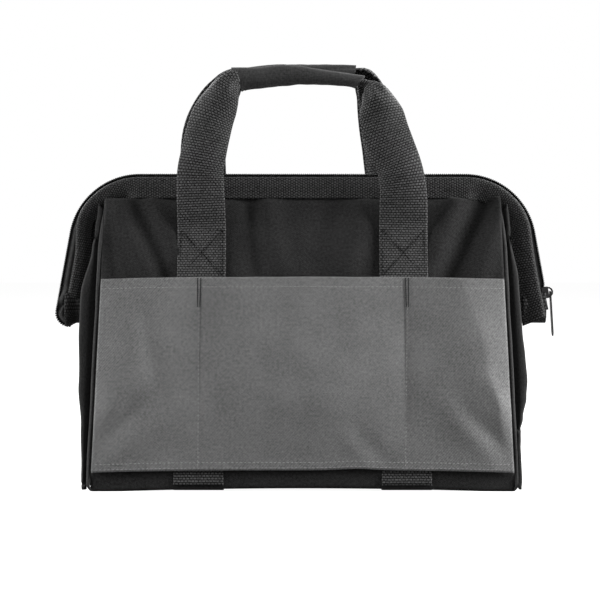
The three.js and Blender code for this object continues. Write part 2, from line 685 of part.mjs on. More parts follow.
// The grip sleeve is an open tube of cloth with an oval section round the folded strap.
function gripSleeve() {
  const { rings } = handleRings();
  const gripRings = rings.slice(HANDLE_LEG_STEPS, HANDLE_LEG_STEPS + GRIP_STEPS + 1);
  const oval = (height, thickness, overrun) => {
    const tube = new THREE.CylinderGeometry(0.5, 0.5, 1, GRIP_SIDES, GRIP_STEPS);
    const position = tube.getAttribute('position');
    for (let i = 0; i < position.count; i += 1) {
      const k = Math.round((position.getY(i) + 0.5) * GRIP_STEPS);
      const ring = gripRings[k];
      const point = besideRing(ring, position.getX(i) * height, position.getZ(i) * thickness);
      const past = k === 0 ? -overrun : overrun;
      if (k === 0 || k === GRIP_STEPS) {
        point.addScaledVector(ring.upward.clone().cross(ring.outward), past);
      }
      position.setXYZ(i, point.x, point.y, point.z);
    }
    return toManifold(facedOutward(tube));
  };
  const hollowHeight = GRIP_HEIGHT - 2 * SLEEVE_CLOTH;
  const hollowThickness = GRIP_THICKNESS - 2 * SLEEVE_CLOTH;
  const hollow = oval(hollowHeight, hollowThickness, SLEEVE_CLOTH);
  return fromManifold(oval(GRIP_HEIGHT, GRIP_THICKNESS, 0).subtract(hollow));
}

// The slider straddles both coils on the right wing. In its own frame x points out of the mouth,
// z up the leg, and the origin is on the mouth line.
const SLIDER_FLOOR = -SLIDER_WALL - FIT;
const SLIDER_CEILING = COIL_HEIGHT + 2 * FIT;
const SLIDER_TOP = SLIDER_CEILING + SLIDER_WALL;
const BAIL_CENTRE = SLIDER_TOP - FIT;
const PULL_AXIS = BAIL_CENTRE + BAIL_INNER_RADIUS - 2 * FIT - PULL_BAR / 2;
const SLIDER_Z = PIVOT_HEIGHT + SLIDER_RISE;

function sliderBody() {
  const halfLength = SLIDER_LENGTH / 2;
  const channel = COIL_WIDTH + FIT / 2 + FIT;
  const slot = TAPE_FAR + FIT;
  const halfWidth = channel + SLIDER_WALL;
  const body = block([SLIDER_FLOOR, -halfWidth, -halfLength], [SLIDER_TOP, halfWidth, halfLength]);
  const coilWay = block([0, -channel, -halfLength - 1], [SLIDER_CEILING, channel, halfLength + 1]);
  const tapeWay = block([SLIDER_FLOOR - 1, -slot, -halfLength - 1], [1, slot, halfLength + 1]);
  const outerRadius = BAIL_INNER_RADIUS + BAIL_WALL;
  const bar = (radius, width) => {
    const disc = new THREE.CylinderGeometry(radius, radius, width, ROUND_SIDES);
    disc.translate(BAIL_CENTRE, 0, 0);
    return toManifold(disc);
  };
  const keepOut = block([-20, -20, -20], [BAIL_CENTRE, 20, 20]);
  const bail = bar(outerRadius, BAIL_WIDTH).subtract(bar(BAIL_INNER_RADIUS, BAIL_WIDTH + 2))
    .subtract(toManifold(keepOut));
  const shell = toManifold(body).subtract(toManifold(coilWay)).subtract(toManifold(tapeWay));
  return fromManifold(shell.add(bail));
}

// The pull hangs from the bail by the bar above its slot.
function pullTab() {
  const half = PULL_WIDTH / 2;
  const outline = new THREE.Shape();
  const top = PULL_BAR / 2;
  const bottom = top - PULL_LENGTH;
  outline.moveTo(-half * 0.7, top);
  outline.lineTo(half * 0.7, top);
  outline.lineTo(half, bottom + half);
  outline.absarc(0, bottom + half, half, 0, -Math.PI, true);
  outline.closePath();
  const slotHalf = BAIL_WIDTH / 2 + 2 * FIT;
  const slot = new THREE.Path();
  slot.moveTo(-slotHalf, -top);
  slot.lineTo(-slotHalf, -top - PULL_SLOT_LENGTH);
  slot.lineTo(slotHalf, -top - PULL_SLOT_LENGTH);
  slot.lineTo(slotHalf, -top);
  slot.closePath();
  outline.holes.push(slot);
  const settings = { depth: PULL_THICKNESS, bevelEnabled: false, curveSegments: 8 };
  const tab = new THREE.ExtrudeGeometry(outline, settings);
  tab.translate(0, 0, -PULL_THICKNESS / 2);
  tab.rotateX(Math.PI / 2);
  tab.rotateZ(Math.PI / 2);
  return facedOutward(tab);
}

// The whole bag. The back half is the front half's group turned half way round, so that what is on
// the left in it comes out on the right.

const bag = new THREE.Group();

bag.add(piece('base_panel', basePanel(), 'blackCloth'));
bag.add(piece('base_board', baseBoard(), 'board'));
for (const [word, side] of [['left', -1], ['right', 1]]) {
  bag.add(piece(`${word}_end_panel`, endPanel(side), 'blackCloth'));
  bag.add(piece(`${word}_base_strap`, baseStrap(side * DIVIDER_X), 'webbing'));
}

function halfOfBag(word, isBack) {
  const half = new THREE.Group();
  half.add(piece(`${word}_panel`, sidePanel(), 'blackCloth'));
  half.add(piece(`${word}_pocket`, sidePocket(), 'greyCloth'));
  half.add(piece(`${word}_piping`, sidePiping(), 'blackCloth'));
  for (const side of [-1, 1]) {
    const hand = (side < 0) === isBack ? 'right' : 'left';
    half.add(piece(`${word}_${hand}_strap`, sewnStrap(side * DIVIDER_X), 'webbing'));
    half.add(piece(`${word}_${hand}_flap`, endFlap(side), 'blackCloth'));
  }
  half.add(piece(`${word}_frame_wire`, frameWire(isBack), 'springSteel'));
  half.add(piece(`${word}_rim_webbing`, rimWebbing(), 'webbing'));
  half.add(piece(`${word}_zip_tape`, zipperTape(isBack), 'blackCloth'));
  half.add(piece(`${word}_zip_coil`, zipperCoil(isBack), 'coil'));
  half.add(piece(`${word}_handle_strap`, handleStrap(), 'webbing'));
  half.add(piece(`${word}_grip_sleeve`, gripSleeve(), 'blackCloth'));
  if (isBack) half.rotation.z = Math.PI;
  return half;
}

bag.add(halfOfBag('front', false));
bag.add(halfOfBag('back', true));

for (const [word, side] of [['left', -1], ['right', 1]]) {
  bag.add(piece(`${word}_pivot_rivet`, pivotRivet(side), 'blackenedMetal'));
  bag.add(piece(`${word}_wing_tab`, wingTab(side), 'webbing'));
}

const sliderPlace = new THREE.Group();
sliderPlace.position.set(legXAt(SLIDER_Z), 0, SLIDER_Z);
sliderPlace.rotation.y = -LEG_SPLAY;
sliderPlace.add(piece('slider_body', sliderBody(), 'blackenedMetal'));
bag.add(sliderPlace);

// The pull hangs from the slider's bail nearly plumb, its lower end a little away from the wing.
const pullPlace = new THREE.Group();
pullPlace.position.set(
  legXAt(SLIDER_Z) + PULL_AXIS * Math.cos(LEG_SPLAY),
  0,
  SLIDER_Z + PULL_AXIS * Math.sin(LEG_SPLAY),
);
pullPlace.rotation.y = -radians(PULL_LEAN_DEG);
pullPlace.add(piece('pull_tab', pullTab(), 'blackenedMetal'));
bag.add(pullPlace);

export default bag;
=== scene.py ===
import bisect
import math

import bmesh
import bpy
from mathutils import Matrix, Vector, noise


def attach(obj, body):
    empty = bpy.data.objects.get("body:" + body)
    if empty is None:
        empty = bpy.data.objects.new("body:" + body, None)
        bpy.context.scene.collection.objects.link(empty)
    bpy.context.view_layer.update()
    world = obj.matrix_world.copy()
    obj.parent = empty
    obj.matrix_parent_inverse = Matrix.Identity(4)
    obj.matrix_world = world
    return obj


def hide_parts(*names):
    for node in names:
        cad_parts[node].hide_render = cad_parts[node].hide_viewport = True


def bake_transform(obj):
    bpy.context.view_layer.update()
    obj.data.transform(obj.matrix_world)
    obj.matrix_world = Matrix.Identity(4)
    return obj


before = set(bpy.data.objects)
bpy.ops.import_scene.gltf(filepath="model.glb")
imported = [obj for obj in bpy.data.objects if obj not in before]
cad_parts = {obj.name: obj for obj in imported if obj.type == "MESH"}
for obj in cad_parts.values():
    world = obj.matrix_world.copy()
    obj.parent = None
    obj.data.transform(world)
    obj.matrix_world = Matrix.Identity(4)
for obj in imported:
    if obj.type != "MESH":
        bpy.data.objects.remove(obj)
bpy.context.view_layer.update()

MM = 0.001

# Sizes shared with the CAD frame
BASE_LENGTH = 322
TOP_LENGTH = 313
BASE_DEPTH = 180
HINGE = (-90, 2.2)
SIDE_TOP = (-8, 222.5)
SIDE_SLOPE = math.atan2(SIDE_TOP[0] - HINGE[0], SIDE_TOP[1] - HINGE[1])
SIDE_HEIGHT = math.hypot(SIDE_TOP[0] - HINGE[0], SIDE_TOP[1] - HINGE[1])
SIDE_BELLY = 4
PIPING_RADIUS = 1.7
STRAP_X = 79
STRAP_WIDTH = 38
POCKET_LOW = 15.5
POCKET_HIGH = 161
POCKET_SEAT = 5.0
RIM_STRAIGHT_HALF = 129.2
RIM_CORNER_RADIUS = 55
RIM_TOP = 240.1
LEG_SPLAY = math.radians(10.5)
PIVOT_HEIGHT = 133
TOP_LEAN = 0.2087
PANEL_LOW = -1.9
PANEL_CORNER = 2.5
PANEL_TUCK = 4.2
PANEL_UNDER = 2.4


# The camera, where the photographer's stood

CAMERA_PLACE = (-0.002, -1.7, 0.2)
CAMERA_TILT = 1.96
CAMERA_LENS = 128


def aim_camera():
    data = bpy.data.cameras.new("camera")
    data.sensor_width = 36
    data.lens = CAMERA_LENS
    data.clip_end = 20
    camera = bpy.data.objects.new("camera", data)
    camera.location = CAMERA_PLACE
    camera.rotation_euler = (math.radians(90 - CAMERA_TILT), 0, 0)
    bpy.context.scene.collection.objects.link(camera)
    bpy.context.scene.camera = camera


aim_camera()


# Small helpers for numbers

def mix(a, b, share):
    return a + (b - a) * share


def clamp(value, low=0.0, high=1.0):
    return max(low, min(high, value))


def ease(value):
    value = clamp(value)
    return value * value * (3 - 2 * value)


def hump(value, width):
    return math.exp(-(value / width) ** 2)


def between(stops, at):
    """The value at a place, eased between (place, value) stops in rising order of place."""
    if at <= stops[0][0]:
        return stops[0][1]
    for (low, first), (high, second) in zip(stops, stops[1:]):
        if at <= high:
            return mix(first, second, ease((at - low) / (high - low)))
    return stops[-1][1]


def through(points, share):
    """A point of the smooth curve through some points."""
    spans = len(points) - 1
    k = min(int(clamp(share) * spans), spans - 1)
    t = clamp(share) * spans - k
    a, b, c, d = (points[min(max(k + i, 0), spans)] for i in (-1, 0, 1, 2))
    return 0.5 * (2 * b + (c - a) * t + (2 * a - 5 * b + 4 * c - d) * t * t
                  + (3 * b - a - 3 * c + d) * t * t * t)


def rough(x, y, grain, seed):
    """Slow unevenness from -1 to 1, with lumps about a grain wide."""
    return noise.noise(Vector((x / grain, y / grain, seed * 7.31)))


def fold(x, z, start, end, width, height, fade=0.35):
    """A fold's height at (x, z): it runs from start to end and dies away at both."""
    along = Vector(end) - Vector(start)
    away = Vector((x, z)) - Vector(start)
    share = away.dot(along) / along.length_squared
    side = (away.x * along.y - away.y * along.x) / along.length
    ends = ease(share / fade) * ease((1 - share) / fade)
    return height * hump(side, width) * ends


# The sides' plane

def half_length(up):
    return mix(BASE_LENGTH, TOP_LENGTH, up / SIDE_HEIGHT) / 2


def on_side(x, up, out):
    y = HINGE[0] + up * math.sin(SIDE_SLOPE) - out * math.cos(SIDE_SLOPE)
    z = HINGE[1] + up * math.cos(SIDE_SLOPE) + out * math.sin(SIDE_SLOPE)
    return Vector((x, y, z))


def up_at(z):
    return (z - HINGE[1]) / math.cos(SIDE_SLOPE)


def side_y(z):
    return HINGE[0] + (z - HINGE[1]) * math.tan(SIDE_SLOPE)


def belly(x, up):
    lengthwise = math.cos(math.pi * x / (2 * half_length(up)))
    return SIDE_BELLY * max(0, lengthwise) * math.sin(math.pi * clamp(up / SIDE_HEIGHT))


# Mesh making

def finished(name, bm, material, body):
    mesh = bpy.data.meshes.new(name)
    bm.to_mesh(mesh)
    bm.free()
    piece = bpy.data.objects.new(name, mesh)
    bpy.context.scene.collection.objects.link(piece)
    mesh.materials.append(material)
    mesh.polygons.foreach_set("use_smooth", [True] * len(mesh.polygons))
    if body:
        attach(piece, body)
    return piece


def laid_grid(columns, rows, size, place):
    """A grid laid out in space by place(u, v), with its cut size in metres as its UV map."""
    bm = bmesh.new()
    cut = bm.loops.layers.uv.new("cut")
    bmesh.ops.create_grid(bm, x_segments=columns, y_segments=rows, size=0.5, calc_uvs=True)
    for face in bm.faces:
        for loop in face.loops:
            loop[cut].uv = ((loop.vert.co.x + 0.5) * size[0] * MM,
                            (loop.vert.co.y + 0.5) * size[1] * MM)
    for vert in bm.verts:
        vert.co = place(vert.co.x + 0.5, vert.co.y + 0.5) * MM
    return bm


def half_turned(bm):
    for vert in bm.verts:
        vert.co.x, vert.co.y = -vert.co.x, -vert.co.y


def thicken(piece, thickness, offset=-1):
    wall = piece.modifiers.new("thickness", "SOLIDIFY")
    wall.thickness = thickness * MM
    wall.offset = offset
    wall.use_quality_normals = True
    return piece


SIDES = (("front", False), ("back", True))


# Materials

def linear(hex_colour):
    """A written sRGB colour as the linear one that shaders take."""
    parts = [int(hex_colour[i:i + 2], 16) / 255 for i in (1, 3, 5)]
    return [p / 12.92 if p <= 0.04045 else ((p + 0.055) / 1.055) ** 2.4 for p in parts] + [1.0]


def add(tree, kind, inputs=None, **settings):
    """A node with its settings. Inputs maps a socket to a value or to the socket it is fed by."""
    made = tree.nodes.new(kind)
    for key, value in settings.items():
        setattr(made, key, value)
    for socket, value in (inputs or {}).items():
        if isinstance(value, bpy.types.NodeSocket):
            tree.links.new(value, made.inputs[socket])
        else:
            made.inputs[socket].default_value = value
    return made


def new_material(name):
    material = bpy.data.materials.new(name)
    material.use_nodes = True
    tree = material.node_tree
    shader = tree.nodes["Principled BSDF"]
    return material, tree, shader


def bands(period_mm):
    """The wave texture's scale for bands of a real period."""
    return math.pi / 10 / (period_mm * MM)


def woven(name, dark, light, period, grain=0.4, bump=0.5, sheen=0.03, rough_at=0.85, slant=0.0,
          crossing=1.0):
    """Plain or twill weave: two sets of threads across each other, light specks that are partly
    fuzz and partly painted glints where single threads catch the light, and uneven dye.
    """
    material, tree, shader = new_material(name)
    cut = add(tree, "ShaderNodeUVMap", uv_map="cut").outputs["UV"]
    turned = add(tree, "ShaderNodeMapping", {"Vector": cut, "Rotation": (0, 0, slant)})
    vector = turned.outputs["Vector"]
    warp = add(tree, "ShaderNodeTexWave", {"Vector": vector, "Scale": bands(period),
                                           "Distortion": 0.8, "Detail": 1.0},
               bands_direction="X")
    weft = add(tree, "ShaderNodeTexWave", {"Vector": vector, "Scale": bands(period),
                                           "Distortion": 0.8, "Detail": 1.0},
               bands_direction="Y")
    weft_share = add(tree, "ShaderNodeMapRange", {"Value": weft.outputs["Fac"],
                                                  "To Min": 1 - crossing, "To Max": 1.0})
    weave = add(tree, "ShaderNodeMath", {0: warp.outputs["Fac"], 1: weft_share.outputs[0]},
                operation="MULTIPLY")
    speck = add(tree, "ShaderNodeTexNoise", {"Vector": cut, "Scale": 520, "Detail": 3.0,
                                             "Roughness": 0.75})
    blotch = add(tree, "ShaderNodeTexNoise", {"Vector": cut, "Scale": 28, "Detail": 3.0})
    shade = add(tree, "ShaderNodeMath", {0: weave.outputs[0], 1: grain,
                                         2: 0.5 - grain * 0.25}, operation="MULTIPLY_ADD")
    # Painted highlight: the light specks added to the colour stand in part for single threads
    # catching the light.
    speckle = add(tree, "ShaderNodeMapRange", {"Value": speck.outputs["Fac"], "From Min": 0.3,
                                               "From Max": 0.7, "To Min": -0.34, "To Max": 0.34})
    cloud = add(tree, "ShaderNodeMapRange", {"Value": blotch.outputs["Fac"], "From Min": 0.3,
                                             "From Max": 0.7, "To Min": -0.1, "To Max": 0.1})
    one = add(tree, "ShaderNodeMath", {0: shade.outputs[0], 1: speckle.outputs[0]},
              operation="ADD")
    two = add(tree, "ShaderNodeMath", {0: one.outputs[0], 1: cloud.outputs[0]},
              operation="ADD", use_clamp=True)
    colour = add(tree, "ShaderNodeMix", {"Factor": two.outputs[0]}, data_type="RGBA")
    colour.inputs["A"].default_value = linear(dark)
    colour.inputs["B"].default_value = linear(light)
    tree.links.new(colour.outputs["Result"], shader.inputs["Base Color"])
    relief = add(tree, "ShaderNodeBump", {"Height": two.outputs[0], "Strength": bump,
                                          "Distance": 0.0005})
    tree.links.new(relief.outputs["Normal"], shader.inputs["Normal"])
    shader.inputs["Roughness"].default_value = rough_at
    shader.inputs["Sheen Weight"].default_value = sheen
    shader.inputs["Sheen Roughness"].default_value = 0.5
    shader.inputs["Specular IOR Level"].default_value = 0.06
    return material


def webbing(name, dark, light, across, along, bump=0.9):
    """Heavy ribbed webbing: rows of short floats, each row shifted by half a float."""
    material, tree, shader = new_material(name)
    cut = add(tree, "ShaderNodeUVMap", uv_map="cut").outputs["UV"]
    floats = add(tree, "ShaderNodeTexBrick", {
        "Vector": cut, "Scale": 1.0, "Mortar Size": 0.5 * MM, "Mortar Smooth": 0.6,
        "Brick Width": across * MM, "Row Height": along * MM,
        "Color1": (1, 1, 1, 1), "Color2": (0.62, 0.62, 0.62, 1), "Mortar": (0, 0, 0, 1)},
        offset=0.5)
    speck = add(tree, "ShaderNodeTexNoise", {"Vector": cut, "Scale": 600, "Detail": 2.0})
    speckle = add(tree, "ShaderNodeMapRange", {"Value": speck.outputs["Fac"], "From Min": 0.3,
                                               "From Max": 0.7, "To Min": -0.2, "To Max": 0.2})
    grey = add(tree, "ShaderNodeRGBToBW", {"Color": floats.outputs["Color"]})
    both = add(tree, "ShaderNodeMath", {0: grey.outputs[0], 1: speckle.outputs[0]},
               operation="ADD", use_clamp=True)
    colour = add(tree, "ShaderNodeMix", {"Factor": both.outputs[0]}, data_type="RGBA")
    colour.inputs["A"].default_value = linear(dark)
    colour.inputs["B"].default_value = linear(light)
    tree.links.new(colour.outputs["Result"], shader.inputs["Base Color"])
    relief = add(tree, "ShaderNodeBump", {"Height": both.outputs[0], "Strength": bump,
                                          "Distance": 0.0006})
    tree.links.new(relief.outputs["Normal"], shader.inputs["Normal"])
    shader.inputs["Roughness"].default_value = 0.6
    shader.inputs["Sheen Weight"].default_value = 0.02
    shader.inputs["Specular IOR Level"].default_value = 0.1
    return material


def plain_grain(name, dark, light, scale, roughness, metallic=0.0, bump=0.2, distance=0.0002,
                shine=0.2):
    """A hard finish with fine uneven grain on the piece's own coordinates."""
    material, tree, shader = new_material(name)
    place = add(tree, "ShaderNodeTexCoord").outputs["Object"]
    grain = add(tree, "ShaderNodeTexNoise", {"Vector": place, "Scale": scale, "Detail": 4.0,
                                             "Roughness": 0.6})
    colour = add(tree, "ShaderNodeMix", {"Factor": grain.outputs["Fac"]}, data_type="RGBA")
    colour.inputs["A"].default_value = linear(dark)
    colour.inputs["B"].default_value = linear(light)
    tree.links.new(colour.outputs["Result"], shader.inputs["Base Color"])
    sheen = add(tree, "ShaderNodeMapRange", {"Value": grain.outputs["Fac"],
                                             "To Min": roughness - 0.08,
                                             "To Max": roughness + 0.08})
    tree.links.new(sheen.outputs[0], shader.inputs["Roughness"])
    relief = add(tree, "ShaderNodeBump", {"Height": grain.outputs["Fac"], "Strength": bump,
                                          "Distance": distance})
    tree.links.new(relief.outputs["Normal"], shader.inputs["Normal"])
    shader.inputs["Metallic"].default_value = metallic
    shader.inputs["Specular IOR Level"].default_value = shine
    return material


# Black polyester, plain woven: matt, with light specks where single threads catch the light.
black_polyester = woven("black_woven_polyester", "#050505", "#2c2c2c", 1.4, grain=0.3,
                        slant=math.radians(33))
# The same cloth on the tight, rounded pieces, where it looks smoother. Its colour is drawn lighter
# than on the panels: painted light, standing in for the light these rounded pieces catch.
lighter_painted_polyester = woven("black_polyester_smooth_painted_lighter", "#181818", "#3c3c3c", 1.5,
                         grain=0.2, bump=0.25, sheen=0.05)
# Grey polyester twill: fine slanting lines. They are drawn about twice as coarse as real.
grey_twill = woven("grey_polyester_twill", "#363636", "#6c6c6c", 1.6, grain=0.34, bump=0.4,
                   slant=math.radians(40), crossing=0.3)
# Ribbed polypropylene webbing of the handles: rows of bright floats with dark gaps.
strap_webbing = webbing("ribbed_polypropylene_webbing", "#030303", "#484848", 2.7, 2.0)
# The mouth's softer webbing, whose floats lie across it.
rim_polyester = webbing("folded_polyester_rim_webbing", "#030303", "#3c3c3c", 2.2, 1.9)
# Woven zipper tape: finer and smoother than the webbing.
tape_polyester = woven("woven_zipper_tape", "#1c1c1c", "#404040", 1.2, grain=0.3, bump=0.25)
# Nylon coil: drawn monofilament with a half gloss.
coil_nylon = plain_grain("drawn_nylon_coil", "#0c0c0c", "#1e1e1e", 900, 0.5, shine=0.1)
# Polyester thread, twisted: light on the pocket, dark on the webbing.
grey_thread = plain_grain("twisted_thread_light_grey", "#787878", "#929292", 1500, 0.8,
                          shine=0.05)
black_thread = plain_grain("twisted_thread_black", "#060606", "#121212", 1500, 0.8, shine=0.05)
# Fibreboard, pressed: dull and slightly mottled.
fibre_board = plain_grain("pressed_fibre_board", "#333333", "#414141", 220, 0.75)
# Drawn spring steel: bare, with fine streaks from the die.
spring_steel = plain_grain("drawn_spring_steel", "#8e8e8e", "#a8a8a8", 400, 0.35, metallic=1.0)
# Zinc alloy, cast and blackened: dark with worn brighter grain.
black_zinc = plain_grain("blackened_cast_zinc", "#1e1e1e", "#3d3d3d", 350, 0.4, metallic=0.9)

for name, material in (
    ("base_board", fibre_board), ("front_frame_wire", spring_steel),
    ("back_frame_wire", spring_steel), ("left_pivot_rivet", black_zinc),
    ("right_pivot_rivet", black_zinc), ("slider_body", black_zinc), ("pull_tab", black_zinc),
):
    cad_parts[name].material_slots[0].material = material


# The two sides' black cloth

PANEL_FOLD_GAIN = 1.35
# The folds above the pocket: where each starts and ends as (x, z), its width, height and fade
PANEL_FOLDS = (
    ((150, 234), (104, 142), 9, -4.4, 0.15),
    ((162, 230), (132, 140), 9, 2.6, 0.2),
    ((128, 232), (92, 150), 9, 2.2, 0.2),
    ((-152, 226), (-112, 140), 7, 2.2, 0.2),
    ((-138, 230), (-100, 150), 7, -2.2, 0.2),
    ((-120, 230), (-92, 160), 7, 1.6, 0.25),
    ((-156, 205), (-142, 130), 5, -1.6, 0.3),
    ((-44, 232), (-34, 150), 7, -2.0, 0.2),
    ((-30, 232), (-14, 150), 9, 1.9, 0.2),
    ((24, 225), (6, 155), 9, -1.6, 0.25),
    ((52, 232), (34, 150), 9, 1.7, 0.2),
)


def panel_wrinkle(x, z):
    """How far the black cloth above the pocket stands out of its plane."""
    out = 0.8 * rough(x, z, 32, 1) + 0.2 * rough(x, z, 10, 2)
    for way in PANEL_FOLDS:
        out += fold(x, z, *way)
    return PANEL_FOLD_GAIN * out * ease((z - 120) / 40) * ease((232 - z) / 14)


def base_arch(x):
    """The bag's lower edge stands a little off the floor between its corners."""
    return 2.6 * (1 - min(1, (x / 150) ** 2))


def panel_top(x):
    """Its top goes up between the leaves of the rim webbing, but not at its two corners."""
    tucked = 1 - ease((abs(x) - 110) / 14)
    return SIDE_HEIGHT - 0.4 + PANEL_TUCK * tucked + 2.2 * ease((x - 139) / 7)


def panel_point(u, v):
    """The panel's outer face."""
    rough_x = mix(-1, 1, u) * half_length(SIDE_HEIGHT)
    up = mix(PANEL_LOW, panel_top(rough_x), v)
    below_bend = max(0, PANEL_CORNER - (up - PANEL_LOW))
    corner = PANEL_CORNER - math.sqrt(max(0, PANEL_CORNER ** 2 - below_bend ** 2))
    x = mix(-1, 1, u) * (half_length(min(up, SIDE_HEIGHT)) - 0.1 - corner)
    z = HINGE[1] + up * math.cos(SIDE_SLOPE)
    tucked = ease((up - SIDE_HEIGHT + 4) / 4) * (1 - ease((abs(x) - 110) / 14))
    seam = 0.7 * hump(up - 2.2, 1.3)
    under = PANEL_UNDER * (1 - ease((up + 1) / 15))
    out = belly(x, up) + 1.2 + panel_wrinkle(x, z) - 1.6 * tucked + seam - under
    point = on_side(x, up, out)
    point.z += base_arch(x) * ease((30 - z) / 28)
    return point


for word, is_back in SIDES:
    bm = laid_grid(150, 90, (BASE_LENGTH, SIDE_HEIGHT), panel_point)
    if is_back:
        half_turned(bm)
    panel = finished(f"{word}_panel_cloth", bm, black_polyester, f"{word}_side")
    thicken(panel, 2.4)
    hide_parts(f"{word}_panel")


# Piping round each side's ends and lower edge

def piping_path():
    """Down one end of a side, under its lower edge, and up the other end to a point."""
    outset = PIPING_RADIUS
    bend = 2.5 + outset
    low = half_length(0) + outset
    top = SIDE_HEIGHT - 1.5
    high = half_length(top) + outset
    end = []
    for i in range(40):
        up = mix(top, bend, i / 39)
        wave = 0.4 * rough(up, 3, 26, 5)
        tuck = 1.8 * ease((up - 190) / 40)
        end.append(on_side(-mix(low, high, (up - bend) / (top - bend)) + wave + tuck, up, -0.4))
    for i in range(1, 9):
        angle = math.pi / 2 * (1 - i / 8)
        under = PANEL_UNDER * ease(i / 8)
        point = on_side(-(low - bend) - bend * math.sin(angle),
                        bend - bend * math.cos(angle) - 1.0, -0.4 - under)
        end.append(point)
    for i in range(1, 17):
        x = mix(-(low - bend), 0, i / 16)
        point = on_side(x, -1.0, -2.8)
        point.z += base_arch(x)
        end.append(point)
    other = [Vector((-point.x, point.y, point.z)) for point in end[-2::-1]]
    return end + other


def piping_radius(share):
    """Full down the ends, fading out at both tips, thinner where it runs under the edge."""
    from_end = min(share, 1 - share)
    tip = mix(0.3, 1, ease(from_end / 0.03))
    below = mix(1, 0.62, ease((from_end - 0.3) / 0.03))
    return PIPING_RADIUS * tip * below


def rod(points, radius, sides, facing):
    """A round rod through some points that lie near a plane facing one way, with closed ends."""
    steps = len(points) - 1
    length = sum((b - a).length for a, b in zip(points, points[1:]))

    def place(u, v):
        k = round(v * steps)
        before, after = points[max(0, k - 1)], points[min(steps, k + 1)]
        tangent = (after - before).normalized()
        sideways = tangent.cross(facing).normalized()
        outward = sideways.cross(tangent).normalized()
        angle = 2 * math.pi * u
        r = radius(v) if callable(radius) else radius
        return points[k] + (sideways * math.cos(angle) + outward * math.sin(angle)) * r

    bm = laid_grid(sides, steps, (2 * math.pi * 2.2, length), place)
    bmesh.ops.remove_doubles(bm, verts=bm.verts, dist=1e-6)
    bmesh.ops.holes_fill(bm, edges=bm.edges, sides=sides + 1)
    bmesh.ops.recalc_face_normals(bm, faces=bm.faces)
    return bm


side_facing = on_side(0, 0, 1) - on_side(0, 0, 0)
for word, is_back in SIDES:
    bm = rod(piping_path(), piping_radius, 12, side_facing)
    if is_back:
        half_turned(bm)
    piping = finished(f"{word}_piping_cord", bm, lighter_painted_polyester, f"{word}_side")
    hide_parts(f"{word}_piping")


# The grey pockets

LEFT_RIDGE = ((15, -154), (60, -142), (100, -131), (161, -122))
RIGHT_RIDGE = ((15, 158), (60, 149), (100, 140), (161, 124))
# The pocket's folds: the lower right corner, right of the middle, the lower left corner
POCKET_FOLDS = (
    ((92, 84), (160, 6), 9.5, 2.3, 0.4),
    ((106, 84), (168, 16), 9.0, -2.7, 0.4),
    ((122, 104), (172, 40), 8.0, 2.4, 0.4),
    ((22, 52), (60, 8), 7, 0.9, 0.4),
    ((32, 56), (72, 12), 7, -0.9, 0.4),
    ((-96, 70), (-158, 8), 9.0, 2.0, 0.4),
    ((-112, 84), (-166, 20), 8.0, -2.8, 0.4),
)


def pocket_out(x, z):
    """How far the pocket's outer face stands off the panel's middle surface."""
    rise = clamp((z - POCKET_LOW) / (POCKET_HIGH - POCKET_LOW))
    fullness = ease(rise * 2.3 + 0.04) * mix(1.0, 0.78, ease((rise - 0.45) / 0.55))
    distance = abs(x)
    if distance <= STRAP_X:
        out = 8.0 * math.cos(math.pi / 2 * distance / STRAP_X) ** 0.75 * fullness
    else:
        end = half_length(up_at(z)) - 0.5
        ridge = abs(between(LEFT_RIDGE if x < 0 else RIGHT_RIDGE, z))
        peak = (7.0 if x < 0 else 9.5) * fullness
        first = peak * ((distance - STRAP_X) / (ridge - STRAP_X)) ** 0.75
        second = peak * clamp((end - distance) / (end - ridge)) ** 0.85
        soft = 0.9
        out = -soft * math.log(math.exp(-first / soft) + math.exp(-second / soft))
        out = max(0.0, out + soft * math.log(1 + math.exp(-peak / soft)))
    for way in POCKET_FOLDS:
        out += fold(x, z, *way)
    out -= 2.4 * hump(x + 128 + 0.2 * (z - 161), 9) * ease((z - 40) / 60)
    out += 0.5 * rough(x, z, 34, 11) + 0.12 * rough(x, z, 8, 12)
    return max(POCKET_SEAT - 0.6, POCKET_SEAT + out)


def pocket_edge(x, high):
    """The height of the pocket's upper or lower edge."""
    bow = (abs(x) / 160) ** 3
    if high:
        return POCKET_HIGH + 0.4 - 2.0 * bow + 0.25 * rough(x, 0, 25, 21)
    lift = 1.1 * hump(x - 42, 18)
    return POCKET_LOW + 0.6 - 1.8 * bow + lift


def pocket_place(x, z):
    """The pocket's outer face at a place along it and a height."""
    up = up_at(z)
    out = belly(x, up) + pocket_out(x, z)
    return on_side(x, up - out * math.tan(SIDE_SLOPE), out)


def pocket_point(u, v):
    nominal = mix(POCKET_LOW, POCKET_HIGH, v)
    x = mix(-1, 1, u) * (half_length(up_at(nominal)) - 0.5)
    return pocket_place(x, mix(pocket_edge(x, False), pocket_edge(x, True), v))


for word, is_back in SIDES:
    bm = laid_grid(200, 90, (321, 156), pocket_point)
    if is_back:
        half_turned(bm)
    pocket = finished(f"{word}_pocket_cloth", bm, grey_twill, f"{word}_side")
    thicken(pocket, 1.5)
    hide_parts(f"{word}_pocket")


# Stitches

def stitch_row(bm, path, length, gap, radius, sink=0.0):
    """Stitches along a path: path(share) gives a point and the direction off the cloth."""
    total = 0.0
    last = path(0)[0]
    for i in range(1, 101):
        point = path(i / 100)[0]
        total += (point - last).length
        last = point
    count = max(1, int(total / (length + gap)))
    for i in range(count):
        share = (i + 0.5) / count
        point, off = path(share)
        ahead = path(min(1, share + 0.002))[0]
        behind = path(max(0, share - 0.002))[0]
        along = (ahead - behind).normalized()
        across = off.cross(along).normalized()
        made = bmesh.ops.create_uvsphere(bm, u_segments=6, v_segments=4, radius=1.0)
        for vert in made["verts"]:
            x, y, z = vert.co
            place = (point + along * (z * length / 2) + across * (x * radius)
                     + off * (y * radius - sink))
            vert.co = place * MM


